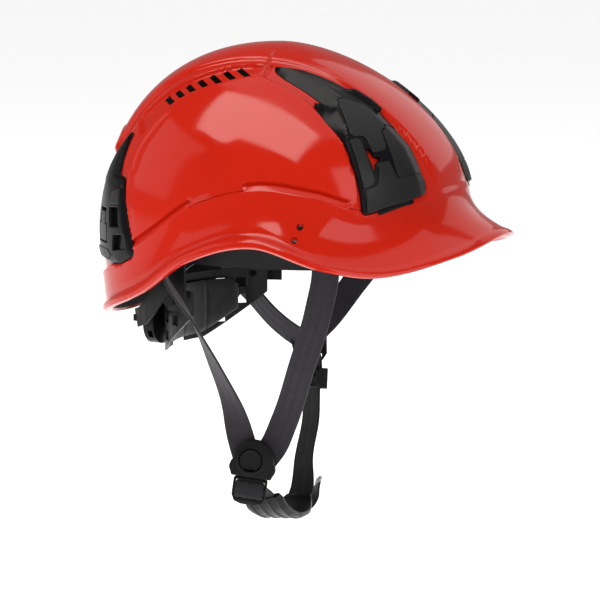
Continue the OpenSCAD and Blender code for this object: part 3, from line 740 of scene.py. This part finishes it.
FRAME_F, FRAME_R = local(34, 80), local(144, 25)
H_GAP = [(-2.8, -19.2), (0.4, -19.2), (2.0, -24.6), (5.4, -25.4), (5.7, -27.9), (2.4, -28.8), (1.2, -33.8), (-0.6, -33.8),
         (-1.6, -27)]
FACE_TOP = [(-10.3, 21.9), (-0.4, 18.9), (7.4, 14.6), (14.2, 7.3), (15.9, -0.8), (15.3, -4.1), (12.7, -5.2), (11.8, -7.3),
            (11.6, -19), (10, -20.8), (3.8, -22.6), (1.2, -21.8), (-0.6, -12.3), (-2.6, -9.9), (-8.1, -9.8),
            (-10.0, -7.7), (-10.2, 11.4)]
BLOCK_R = [(12.7, -8.1), (13.6, -6.0), (16.1, -4.4), (16.7, -1.8), (25.9, -1.8), (34, -15), (37, -30), (37.4, -33.4),
           (16.6, -39.2), (15.2, -37)]
BLOCK_L = [(-11.8, -12.2), (-7, -11.4), (-4.6, -13.4), (-1.2, -40.2), (-2.7, -43.0), (-9.3, -44.6)]
TEE = [(2.1, -30.2), (11.1, -28.7), (14.8, -39.9), (37.6, -34.2), (39.2, -38.6), (39.2, -43.2), (36.2, -46.1), (18.6, -52.8),
       (-4.2, -57.2), (-8.2, -57.2), (-8.0, -45.8), (-1.6, -44.2), (0.4, -43.4), (3.1, -35)]
FOOT = [(-2.8, -58.2), (26.4, -51), (26.4, -53.2), (-2.8, -60.4)]
for side in ("_r", "_l"):
    clip_piece("clip_front_base", FRAME_F, CLIP_F, front_height, NYLON, "helmet", side, "clip_front", bottom=-1.3,
               edge=0.35, grid=1.3, holes=[H_GAP], corner=1.0, step=0.8,
               crest=[RIDGE1, RIDGE2, [(-24.6, 20.3), (-18.0, 16.8), (-11.2, 12.9)], [(3.3, 29.9), (13.2, 19.3), (19, 10.9)],
                      [(2.7, 29.3), (12.6, 18.7), (18.3, 10.3)], RIM_FACE, [(x - 0.45, y - 0.45) for x, y in RIM_FACE[:-1]],
                      [(x + 0.6, y) for x, y in RIDGE2[3:]]])
    for nm, ol in (("clip_front_face", FACE_TOP), ("clip_front_block_in", BLOCK_R), ("clip_front_block_out", BLOCK_L)):
        clip_piece(nm, FRAME_F, ol, front_top, FACE, "helmet", side, edge=0.3, grid=1.9, bottom=0.3, corner=1.1)
    clip_piece("latch_front_tee", FRAME_F, TEE, lambda q: front_top(q) - 0.03, FACE,
               "latch_fr" if side == "_r" else "latch_fl", side, "latch_front", slot="latch_grey",
               edge=0.3, grid=1.9, bottom=0.5, corner=1.3)
    clip_piece("clip_front_foot", FRAME_F, FOOT, 1.6, NYLON, "helmet", side, edge=0.4, grid=2.0, corner=0.8)

REAR_TOP = lambda q: line([-43, -20, 10, 30, 47], [3.6, 4.2, 4.0, 3.0, 1.8], q[:, 1])
RIDGE_R1 = [(7.2, 46), (5.5, 36), (4.8, 26), (7, 12)]


def rear_height(q):
    top = REAR_TOP(q)
    rim = edge_distance(q, np.array(CLIP_R))
    s = side_of(q, np.array(RIDGE_R1, float))
    high = q[:, 1] > 15
    h = np.where(high & (s > 0), top - (top - 0.8) * s / (s + rim + 1e-6), top)
    return h - np.where(rim < 3.4, (3.4 - rim) * 0.62 * smooth((12 - q[:, 1]) / 4), 0)


WIN1 = [(10.8, -5.2), (22.4, -3.5), (25.6, -15.9), (13.2, -17.8)]
WIN2 = [(18.2, -22.5), (30.4, -20.6), (32.4, -29.4), (16.6, -32.9)]
RLATCH = [(-4.3, -8.7), (4.3, -8.7), (4.4, -17), (7.6, -17.2), (7.7, -28.4), (-7.7, -28.4), (-7.6, -17.2), (-4.4, -17)]
GAP_R = [(-5.2, -6.4), (5.2, -6.4), (5.4, -16.2), (8.5, -16.3), (8.6, -29.2), (-8.6, -29.2), (-8.5, -16.3), (-5.4, -16.2)]
for side in ("_r", "_l"):
    clip_piece("clip_rear_base", FRAME_R, CLIP_R, rear_height, NYLON, "helmet", side, "clip_rear", bottom=-1.3,
               edge=0.6, grid=1.6, holes=[WIN1, WIN2, GAP_R], crest=[RIDGE_R1], corner=1.3, step=1.0)
    clip_piece("latch_rear_tee", FRAME_R, RLATCH, REAR_TOP, FACE, "latch_rr" if side == "_r" else "latch_rl",
               side, "latch_rear", slot="latch_grey", edge=0.45, grid=2.0, bottom=1.6, corner=1.0)
    clip_piece("clip_rear_floor", FRAME_R, [(9, 2), (22, 3), (32, -12), (35, -30), (22, -38), (-9, -37), (-9, -4)], 0.5, NYLON,
               "helmet", side, edge=0.3, grid=3, bottom=-1.2, corner=1.5)
    for nm, ol in (("clip_rear_rib_a", [(12.2, 6), (20.2, 8.6), (23.4, -1.4), (11.2, -2.8)]),
                   ("clip_rear_rib_b", [(-12.6, -33), (9, -33), (14, -36.4), (9, -40.4), (-5, -39.4), (-10.6, -36)])):
        clip_piece(nm, FRAME_R, ol, lambda q: REAR_TOP(q) + 0.5, FACE, "helmet", side, edge=0.45, grid=2.2, bottom=2.0)

# ---------------------------------------------------------------- webbing
def weave(name, dark, light, pitch=1.05, zig=3.1, sheen=0.35):
    """Herringbone webbing: raised twill ribs and fuzz between them."""
    m = bpy.data.materials.new(name)
    m.use_nodes = True
    nt = m.node_tree
    b = nt.nodes["Principled BSDF"]
    b.inputs["Sheen Weight"].default_value = sheen
    b.inputs["Sheen Roughness"].default_value = 0.4
    b.inputs["Specular IOR Level"].default_value = 0.15
    at = nt.nodes.new("ShaderNodeAttribute")
    at.attribute_name = "weave"
    sp = nt.nodes.new("ShaderNodeSeparateXYZ")
    nt.links.new(at.outputs["Vector"], sp.inputs[0])

    def mth(op, a, c=None, d=None):
        n = nt.nodes.new("ShaderNodeMath")
        n.operation = op
        for i, v in enumerate((a, c, d)):
            if v is None:
                continue
            if isinstance(v, (int, float)):
                n.inputs[i].default_value = v
            else:
                nt.links.new(v, n.inputs[i])
        return n.outputs[0]

    u, v = sp.outputs[0], sp.outputs[1]
    z = mth("PINGPONG", u, zig)
    rib = mth("SINE", mth("MULTIPLY", mth("ADD", v, z), 2 * math.pi / pitch))
    rib = mth("MULTIPLY_ADD", rib, 0.5, 0.5)
    fine = mth("MULTIPLY_ADD", mth("SINE", mth("MULTIPLY", u, 2 * math.pi / 0.55)), 0.5, 0.5)
    no = nt.nodes.new("ShaderNodeTexNoise")
    no.inputs["Scale"].default_value = 0.22
    no.inputs["Detail"].default_value = 5
    nt.links.new(at.outputs["Vector"], no.inputs["Vector"])
    f = mth("MULTIPLY", rib, mth("MULTIPLY_ADD", no.outputs["Fac"], 0.9, 0.35))
    mixc = nt.nodes.new("ShaderNodeMix")
    mixc.data_type = "RGBA"
    nt.links.new(f, mixc.inputs["Factor"])
    mixc.inputs["A"].default_value = (*dark, 1)
    mixc.inputs["B"].default_value = (*light, 1)
    nt.links.new(mixc.outputs["Result"], b.inputs["Base Color"])
    nt.links.new(mth("MULTIPLY_ADD", rib, -0.16, 0.62), b.inputs["Roughness"])
    bp = nt.nodes.new("ShaderNodeBump")
    bp.inputs["Strength"].default_value = 0.55
    bp.inputs["Distance"].default_value = 0.00022
    nt.links.new(mth("MULTIPLY_ADD", fine, 0.3, rib), bp.inputs["Height"])
    nt.links.new(bp.outputs["Normal"], b.inputs["Normal"])
    return m


WEB = weave("charcoal_webbing", (0.010, 0.009, 0.012), (0.048, 0.043, 0.055), sheen=0.25)
WEB_BLACK = weave("black_webbing", (0.006, 0.006, 0.007), (0.026, 0.025, 0.029), sheen=0.2)
TAPE = weave("cradle_tape", (0.016, 0.016, 0.018), (0.06, 0.06, 0.066), pitch=1.5, zig=1.2, sheen=0.25)
THREAD = material("tack_thread", (0.05, 0.048, 0.056), 0.6, bump=0.5, bump_scale=2600, vary=0.3, vary_scale=300)
FOAM = material("pad_fabric", (0.014, 0.014, 0.016), 0.85, bump=0.7, bump_scale=3200, spec=0.2, vary=0.25,
                vary_scale=160, rough_vary=0.05, sheen=0.4)
RUBBER = material("chin_rubber", (0.005, 0.005, 0.0055), 0.36, spec=0.22, bump=0.2, bump_scale=1400, vary=0.2, vary_scale=55,
                  rough_vary=0.1, edge=0.3)
TAB = material("light_grey_tab", (0.42, 0.41, 0.39), 0.5, bump=0.2, bump_scale=1500, vary=0.08, vary_scale=120, edge=0.3)
STEEL = material("spring_steel", (0.55, 0.55, 0.56), 0.28, bump=0.08, bump_scale=900, metallic=1.0, vary=0.08, vary_scale=90)


def sweep(path, sides, prof, n=80, taper=None):
    """Closed profile (across, out) swept along smooth knots; taper(s, length) scales it."""
    path, sides = np.asarray(path, float), unit(np.asarray(sides, float))
    t = np.concatenate([[0], np.cumsum(np.linalg.norm(np.diff(path, axis=0), axis=1))])
    s = np.linspace(0, t[-1], n)
    p = np.stack([pchip(t, path[:, k], s) for k in range(3)], -1)
    sd = unit(np.stack([pchip(t, sides[:, k], s) for k in range(3)], -1))
    tan = unit(np.gradient(p, axis=0))
    nv = unit(np.cross(tan, sd))
    sv = unit(np.cross(nv, tan))
    m = len(prof)
    verts = []
    for i in range(n):
        ku, kw = taper(s[i], t[-1]) if taper else (1, 1)
        for (u, w) in prof:
            verts.append(p[i] + sv[i] * u * ku + nv[i] * w * kw)
    faces = [(i * m + j, i * m + (j + 1) % m, (i + 1) * m + (j + 1) % m, (i + 1) * m + j)
             for i in range(n - 1) for j in range(m)]
    faces += [tuple(range(m - 1, -1, -1)), tuple((n - 1) * m + j for j in range(m))]
    uv = [(prof[j][0], s[i]) for i in range(n) for j in range(m)]
    return np.array(verts), faces, uv


def web_piece(name, path, sides, width, thick, body, node=None, mat=None, n=90, bow=0.0):
    v, f, uv = ribbon(path, sides, width, thick, n=n, bow=bow)
    ob = new_mesh(name, v, f, mat or WEB, body, 60)
    at = ob.data.attributes.new("weave", "FLOAT_VECTOR", "POINT")
    at.data.foreach_set("vector", [c for q in uv for c in (q[0], q[1], 0.0)])
    if node:
        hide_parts(node)
    return ob


def at_frame(fr):
    o, x, y, n = fr
    return lambda q, h: o + q[..., :1] * x + q[..., 1:2] * y + np.asarray(h)[..., None] * n


def part(name, fr, outline, top, bottom, mat, body, slot, nodes=(), **kw):
    v, f = slab(outline, top, bottom, at_frame(fr), **kw)
    ob = new_mesh(name, v, f, mat, body, 35)
    if nodes:
        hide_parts(*nodes)
    return ob


def rect(x0, y0, x1, y1):
    return [(x0, y0), (x1, y0), (x1, y1), (x0, y1)]


def circle(r, x=0.0, y=0.0, n=48, a0=0.0, a1=360.0):
    k = n if a1 - a0 >= 360 else n + 1
    return [(x + r * math.cos(math.radians(a0 + (a1 - a0) * i / n)), y + r * math.sin(math.radians(a0 + (a1 - a0) * i / n))) for i in range(k)]


BUCKLE = stand([-62, -6, -149.5], [-0.94, -0.33, 0.06], -8)


def in_b(x, y, z):
    return BUCKLE[0] + x * BUCKLE[1] + y * BUCKLE[2] + z * BUCKLE[3]


STRAPS = {
    "strap_front_r": ([[-82, -66, .5], [-80.5, -67, -10], [-76.5, -60, -42], [-68, -44, -82], [-57, -26, -123], in_b(11, 9.5, -1.6), in_b(6.6, 1.6, -1.8)],
                      [[.1, -1, -.1], [.1, -1, -.2], [.05, -1, -.34], [0, -1, -.4], [.1, -1, -.4], [.25, -.9, -.35], [.3, -.9, -.3]]),
    "strap_rear_r": ([[-90.4, 50.9, -1], [-91.4, 45, -23], [-83.8, 28.8, -52.8], [-75.4, 17, -83], [-66.5, 7.4, -114], in_b(-11, 13, -1.8), in_b(-6.4, 2.4, -2.6)],
                     [[.5, .86, .1], [.86, .5, .2], [.75, .64, .3], [.42, .85, .42], [.1, .95, .34], [-.25, .95, .1], [-.3, .95, .05]]),
    "strap_front_l": ([[83, -51.5, -3], [81, -46, -12], [74.5, -20, -48], [66.9, -1.6, -74.3], [65.4, 4.2, -80.6], [66.6, 9.4, -86.6]], [[0, 1, .45]] * 6),
    "strap_rear_l": ([[65.5, 79, -28], [68.3, 74, -43], [67.8, 55.6, -61.2], [63, 36.5, -76.2], [62.4, 23.8, -84.4], [64.6, 14.5, -90]], [[.5, .55, -1]] * 6),
}
for nm, (pts, sds) in STRAPS.items():
    web_piece(nm + "_web", pts, sds, 19, 1.5, "helmet", nm, n=110)
CHIN = [[66.5, 8, -102.5], [61.1, 6.7, -126.9], [54.6, 4.5, -145], [41.2, 3.8, -170], [27, -1, -190], [10, -4, -197.5],
        [-8, -6.5, -199], [-26, -7, -195.5], [-41, -6.4, -187], [-51, -5.4, -176.5]]
LEAN = [-0.5, -0.5, -0.5, -0.45, -0.1, 0.12, 0.3, 0.35, 0.4, 0.45]
chin_side = lambda i: [LEAN[i], -1, 0]
web_piece("chin_strap_web", [[67.2, 9.4, -98]] + CHIN + [[-57.2, -4.0, -171.8], in_b(0, -18.5, -2.4)],
          [chin_side(0)] + [chin_side(i) for i in range(10)] + [chin_side(9)] * 2, 18, 1.5, "chin", "chin_strap", mat=WEB_BLACK, n=170)
web_piece("strap_tail_web", [[20, -2, -203], [27, -3.6, -201.4], [34.5, -5.6, -197], [40.5, -7, -189.5]],
          [[-.2, -1, 0], [-.4, -.9, 0], [-.7, -.7, 0], [-.9, -.45, 0]], 17, 1.5, "chin", "strap_tail", mat=WEB_BLACK)
v, f, uv = ribbon([[40.9, -7.1, -188.9], [41.9, -7.3, -187], [42.9, -7.5, -185.1]], [[-.9, -.45, 0]] * 3, 17.3, 2.2, n=20)
tab = new_mesh("end_tab_cap", v, f, TAB, "chin", 60)
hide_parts("end_tab")

# ribbed rubber sleeve round the chin
prof = []
for k in range(49):
    u = 13.1 - 26.2 * k / 48
    ridge = max(0.0, math.cos((u / 26.2) * 2 * math.pi * 4 + math.pi)) ** 0.6 if abs(u) < 11.6 else 0
    prof.append((u, -2.15 - 0.85 * ridge + 0.8 * (abs(u) / 13.1) ** 8))
for k in range(1, 8):
    a = -math.pi / 2 - math.pi * k / 8
    prof.append((-13.1 + 0.4 * math.cos(a), 0.35 + 1.7 * math.sin(a)))
for k in range(25):
    u = -13.1 + 26.2 * k / 24
    prof.append((u, 2.05 + 0.85 * (1 - (u / 13.1) ** 2)))
for k in range(1, 8):
    a = math.pi / 2 - math.pi * k / 8
    prof.append((13.1 + 0.4 * math.cos(a), 0.35 + 1.7 * math.sin(a)))


def sleeve_ends(s, length):
    e = min(s, length - s)
    return 1 - 0.06 * (1 - smooth(e / 6)) - 0.24 * (1 - smooth(s / 22)), 1 - 0.3 * (1 - smooth(e / 4))


c = np.array(CHIN, float)
lo, hi = c[4] + 8 * unit(c[5] - c[4]), c[9] - 4 * unit(c[9] - c[8])
v, f, uv = sweep([lo, c[5], c[6], c[7], c[8], hi], [chin_side(i) for i in range(4, 10)], prof, n=110, taper=sleeve_ends)
pad = new_mesh("chin_pad_sleeve", v, f, RUBBER, "chin", 40)
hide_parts("chin_pad")

# ---------------------------------------------------------------- buckle
lobe = [(13.5, -11.4), (14.6, -8.6), (15.6, -6.8), (15.8, -4.6), (15.2, -2.2), (14.1, -0.4)]
DISC = lobe + circle(14.2, 0, 0, 60, 4, 176) + [(-x, y) for x, y in reversed(lobe)]
SLOT_U = [(9.2, -11.4), (9.2, 3), (-9.2, 3), (-9.2, -11.4)]
WALLS = DISC + list(reversed(SLOT_U))
part("buckle_disc_back", BUCKLE, DISC, 1.0, 0.0, ACETAL, "helmet", "buckle_black", ["buckle_body"], edge=0.06, grid=3, corner=0.4)
part("buckle_disc_wall", BUCKLE, WALLS, 3.45, 0.9, ACETAL, "helmet", "buckle_black", edge=0.06, grid=3, corner=0.0)


def disc_top(q):
    r = np.hypot(q[:, 0], q[:, 1])
    d = np.hypot(q[:, 0] + 1.6, q[:, 1] - 0.4) - 7.8
    return 7.3 - 0.9 * smooth((r - 7) / 8) + 0.35 * np.exp(-(((d - 0.9) / 0.7) ** 2)) - 0.35 * np.exp(-(((d - 2.6) / 0.9) ** 2))


part("buckle_disc_face", BUCKLE, DISC, disc_top, 3.4, ACETAL, "helmet", "buckle_black", holes=[circle(7.8, -1.6, 0.4, 64)],
     edge=1.1, grid=0.9, corner=0.8, step=0.8)
part("buckle_disc_column", BUCKLE, circle(4.5, 0, -5), 0.5, -4, ACETAL, "helmet", "buckle_black", edge=0.1, grid=2)
part("buckle_disc_plate", BUCKLE, circle(12.5), -3, -4.4, ACETAL, "helmet", "buckle_black", edge=0.4, grid=2.4)
low = math.degrees(math.asin(-6.1 / 7.35))
DEE = circle(7.35, -1.6, 0.4, 60, low, 180 - low)


def button_top(q):
    d = edge_distance(q, np.array(DEE))
    return 7.7 - 0.34 * smooth((d - 0.8) / 0.8) * (0.3 + 0.7 * (0.5 + 0.5 * np.sin((q[:, 0] + 0.25 * q[:, 1]) * 2 * math.pi / 1.15)))


part("buckle_button_cap", BUCKLE, DEE, button_top, 6.6, ACETAL, "button", "latch_grey", ["buckle_button"], edge=0.5, grid=0.36,
     corner=1.6, step=0.6)
part("plug_tongue", BUCKLE, rect(-8.8, -24, 8.8, 1), 3.2, 1.2, ACETAL, "chin", "buckle_black", ["buckle_plug"], edge=0.3, grid=2.5)
LOCK = [(-11.6, -12.3), (-11.6, -24.8), (-9.4, -29.2), (-5, -31), (5, -31), (9.4, -29.2), (11.6, -24.8), (11.6, -12.3)]
lock_top = lambda q: 4.0 - 1.7 * smooth((-28.2 - q[:, 1]) / 2.8) + 0.5 * np.exp(-(((q[:, 1] + 19.8) / 1.6) ** 2))
part("plug_lock", BUCKLE, LOCK, lock_top, 0.4, ACETAL, "chin", "buckle_black", holes=[rect(-10, -17.6, 10, -14.2), rect(-9.8, -26.4, 9.8, -22)],
     edge=0.5, grid=0.9, corner=1.6, step=0.8)
loop = [(0, -24.6, -1.8), (0, -26.0, 0.6), (0, -25.8, 3.2), (0, -24.4, 4.9), (0, -21.8, 5.5), (0, -18, 5.5), (0, -15.8, 4.4),
        (0, -15.2, 2.0), (0, -16.4, -1.0), (0, -19.5, -1.9)]
fold_w = []
for k in range(41):
    u = 9.6 - 19.2 * k / 40
    fold_w.append((u, 0.6 + 0.42 * math.cos(u * 2 * math.pi / 4.9) * (1 if abs(u) < 8.6 else 0)))
for k in range(41):
    u = -9.6 + 19.2 * k / 40
    fold_w.append((u, -0.6 + 0.2 * math.cos(u * 2 * math.pi / 4.9)))
v, f, uv = sweep([in_b(*q) for q in loop], [BUCKLE[1]] * len(loop), fold_w, n=90)
fold_ob = new_mesh("chin_strap_fold", v, f, WEB_BLACK, "chin", 70)
at = fold_ob.data.attributes.new("weave", "FLOAT_VECTOR", "POINT")
at.data.foreach_set("vector", [c for q in uv for c in (q[0], q[1], 0.0)])

# ---------------------------------------------------------------- divider and slider
DIV = stand([66.9, 11.6, -94], [.97, .2, .1])
cc, ss = math.cos(math.radians(8)), math.sin(math.radians(8))
slot2 = [(-10 + cc * x - ss * y, 3 + ss * x + cc * y) for x, y in rect(0, 0, 19, 3)]
div_top = lambda q: 3.0 - 0.9 * np.exp(-((edge_distance(q, np.array([(-13, 12), (-6, 15), (10, 13), (14, 6), (11, -8), (8, -12), (-9, -12), (-13, -6)], float)) - 2.4) / 0.7) ** 2)
part("divider_plate", DIV, [(-13, 12), (-6, 15), (10, 13), (14, 6), (11, -8), (8, -12), (-9, -12), (-13, -6)], div_top, 0.0, ACETAL,
     "helmet", "buckle_black", ["divider"], holes=[rect(-9.5, -8.6, 9.1, -5.6), slot2], edge=0.6, grid=1.0, corner=2.4)
c0, c1 = np.array(CHIN[0], float), np.array(CHIN[1], float)
st = unit(c0 - c1)
sz = unit(np.cross([-0.5, -1, 0], st))
SLIDER = (c0 + 0.6 * (c1 - c0), np.cross(st, sz), st, sz)
part("slider_face", SLIDER, rect(-12, -7.5, 12, 7.5), lambda q: 4.4 - 0.8 * smooth((np.abs(q[:, 1]) - 5.6) / 1.6), 2.6, ACETAL, "slider",
     "buckle_black", ["ladder_slider"], holes=[rect(-9.2, -5.4, 9.2, -1.8), rect(-9.2, 1.8, 9.2, 5.4)], edge=0.5, grid=1.0, corner=1.4)
for s in (-1, 1):
    part("slider_rail_%s" % ("a" if s < 0 else "b"), SLIDER, rect(10.1 * s if s > 0 else -12, -7.5, 12 if s > 0 else -10.1, 7.5), 2.7, -4.4,
         ACETAL, "slider", "buckle_black", edge=0.3, grid=1.2, corner=0.7)
part("slider_bar", SLIDER, rect(-11, -2.4, 11, 2.4), -3.0, -4.4, ACETAL, "slider", "buckle_black", edge=0.4, grid=1.2, corner=0.8)

# ---------------------------------------------------------------- cradle, pads, nape
def arc_p(a, r, zt, zb, n):
    out = []
    for i in range(n + 1):
        u = math.radians(-90 + 180 * i / n)
        k = math.copysign(abs(math.sin(u)) ** 0.9, math.sin(u))
        out.append([-r * k * math.sin(math.radians(a)), -r * k * math.cos(math.radians(a)), zb + (zt - zb) * max(math.cos(u), 0) ** 0.85])
    return out


for nm, a, r, zt in (("crown_band_a", 35, 95, 95), ("crown_band_b", -35, 95, 97.5), ("crown_band_c", 90, 85, 100)):
    sd = [math.cos(math.radians(a)), -math.sin(math.radians(a)), 0]
    web_piece(nm + "_tape", arc_p(a, r, zt, 15.3, 40), [sd] * 41, 20, 1.4, "helmet", nm, mat=TAPE, n=160)


def oval(a, g):
    s, c = math.sin(math.radians(a)), math.cos(math.radians(a))
    return [-(82 + g) * math.copysign(abs(s) ** 0.9, s), -(100 + g) * math.copysign(abs(c) ** 0.9, c)]


def cushion(name, a0, a1, g, zm, h, t, body, node, seams, low=None):
    """Foam pad in fabric: crowned inside, pinched at its edges and at sewn channels."""
    n = 150
    prof = []
    for k in range(29):
        u = -1 + 2 * k / 28
        prof.append((u * h / 2, "in", u))
    path = [[*oval(a0 + (a1 - a0) * i / n, g), zm] for i in range(n + 1)]
    p = np.array(path)
    s = np.concatenate([[0], np.cumsum(np.linalg.norm(np.diff(p, axis=0), axis=1))])
    tan = unit(np.gradient(p, axis=0))
    out = unit(np.cross(tan, [0, 0, 1.0]))
    if (out[n // 2] @ p[n // 2]) < 0:
        out = -out
    verts, m = [], 2 * 29 - 2
    for i in range(n + 1):
        e = min(s[i], s[-1] - s[i])
        end = math.sqrt(max(0.0, 1 - (1 - min(1, e / 5)) ** 2)) * 0.9 + 0.1
        ch = 1 - 0.5 * sum(math.exp(-((s[i] - s[-1] * q) / 1.3) ** 2) for q in seams)
        hh = h * (0.5 + 0.5 * min(1, 0.55 + e / 16)) if e < 8 else h
        row = [(u, +1) for u in np.linspace(-1, 1, 29)] + [(u, -1) for u in np.linspace(1, -1, 29)[1:-1]]
        zl = p[i][2] - hh / 2
        if low:
            zl = max(zl, low(p[i][1]))
        zm_i, hh = (zl + p[i][2] + hh / 2) / 2 - p[i][2], p[i][2] + hh / 2 - zl
        for u, sgn in row:
            dome = (1 - abs(u) ** 3.2) ** 0.6
            w = (0.5 * t * 0.55 * dome if sgn > 0 else -0.5 * t * dome * (0.35 + 0.65 * ch)) * end
            verts.append(p[i] + out[i] * w + np.array([0, 0, zm_i + u * hh / 2]))
    faces = [(i * m + j, i * m + (j + 1) % m, (i + 1) * m + (j + 1) % m, (i + 1) * m + j) for i in range(n) for j in range(m)]
    faces += [tuple(range(m - 1, -1, -1)), tuple(n * m + j for j in range(m))]
    ob = new_mesh(name, verts, faces, FOAM, body, 80)
    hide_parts(node)
    return ob


cushion("sweatband_pad", -62, 62, -2.3 - 2.5, 0, 27.6, 4.9, "helmet", "sweatband", [0.17, 0.335, 0.5, 0.665, 0.83])
cushion("nape_cushion", 134.5, 225.5, -17.6 - 2.5, -63, 37.6, 4.9, "nape", "nape_pad", [0.25, 0.5, 0.75],
        low=lambda y: -51.5 - 0.85 * (y - 40) + 0.6)

LOOK = {"cradle_hooks": NYLON, "headband": STRIP, "rear_arm_r": STRIP, "rear_arm_l": STRIP, "nape_cradle": STRIP, "ratchet_case": NYLON,
        "ratchet_cover": FACE, "ratchet_knob": NYLON, "pivot_pins": NYLON, "strap_hooks": NYLON, "button_spring": STEEL}
for nm, mt in LOOK.items():
    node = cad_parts[nm]
    for sl in node.material_slots:
        sl.material = mt


# ---------------------------------------------------------------- camera, floor, light
AZ, EL, DIST = math.radians(-65.37), math.radians(9.64), 1.7
back = Vector((math.sin(AZ) * math.cos(EL), -math.cos(AZ) * math.cos(EL), math.sin(EL)))
right = Vector((math.cos(AZ), math.sin(AZ), 0))
up = back.cross(right)
cam = bpy.data.cameras.new("photo_camera")
cam.sensor_width = 36
cam.lens = 147.4
cam_ob = bpy.data.objects.new("photo_camera", cam)
bpy.context.collection.objects.link(cam_ob)
aim = right * 0.0109 - up * 0.0488
cam_ob.matrix_world = Matrix((( right.x, up.x, back.x, 0), (right.y, up.y, back.y, 0), (right.z, up.z, back.z, 0), (0, 0, 0, 1)))
cam_ob.location = aim + back * DIST
bpy.context.scene.camera = cam_ob

floor = bpy.data.meshes.new("floor")
floor.from_pydata([(-30, -30, -0.33), (30, -30, -0.33), (30, 30, -0.33), (-30, 30, -0.33)], [], [(0, 1, 2, 3)])
floor_ob = bpy.data.objects.new("floor", floor)
bpy.context.collection.objects.link(floor_ob)
floor.materials.append(material("pale_floor", (0.95, 0.95, 0.95), 0.7, spec=0.1, vary=0.004, vary_scale=2))
glow = floor.materials[0].node_tree.nodes["Principled BSDF"]
glow.inputs["Emission Color"].default_value = (1, 1, 1, 1)
glow.inputs["Emission Strength"].default_value = 0.74


def area(name, loc, target, size, power, color=(1, 1, 1), size_y=None):
    l = bpy.data.lights.new(name, "AREA")
    l.shape = "RECTANGLE"
    l.size, l.size_y = size, size_y or size
    l.energy = power
    l.color = color
    o = bpy.data.objects.new(name, l)
    bpy.context.collection.objects.link(o)
    o.location = loc
    o.rotation_euler = (Vector(loc) - Vector(target)).to_track_quat("Z", "Y").to_euler()
    return o


area("softbox_side", (-1.15, 0.5, 2.25), (0, 0, 0), 1.9, 42, (1, 0.97, 0.92), size_y=1.25)
area("softbox_front", (-1.3, -1.7, 1.2), (0, 0, 0), 1.4, 13)
area("softbox_rear", (-0.9, 1.8, 0.9), (0, 0, 0), 1.2, 3.5)
area("softbox_top", (0.3, -0.2, 2.3), (0, 0, 0), 2.2, 14)
area("softbox_left", (1.8, -0.5, 1.1), (0, 0, 0), 1.6, 6)
bpy.context.scene.view_settings.view_transform = "Standard"
world = bpy.data.worlds.new("studio")
bpy.context.scene.world = world
world.use_nodes = True
wn = world.node_tree
sky = wn.nodes.new("ShaderNodeTexCoord")
sep = wn.nodes.new("ShaderNodeSeparateXYZ")
wn.links.new(sky.outputs["Generated"], sep.inputs[0])
ramp = wn.nodes.new("ShaderNodeMapRange")
ramp.inputs["From Min"].default_value, ramp.inputs["From Max"].default_value = 0.05, 0.6
ramp.inputs["To Min"].default_value, ramp.inputs["To Max"].default_value = 0.28, 0.18
wn.links.new(sep.outputs[2], ramp.inputs["Value"])
wn.links.new(ramp.outputs["Result"], wn.nodes["Background"].inputs["Strength"])
wn.nodes["Background"].inputs["Color"].default_value = (1, 1, 1, 1)
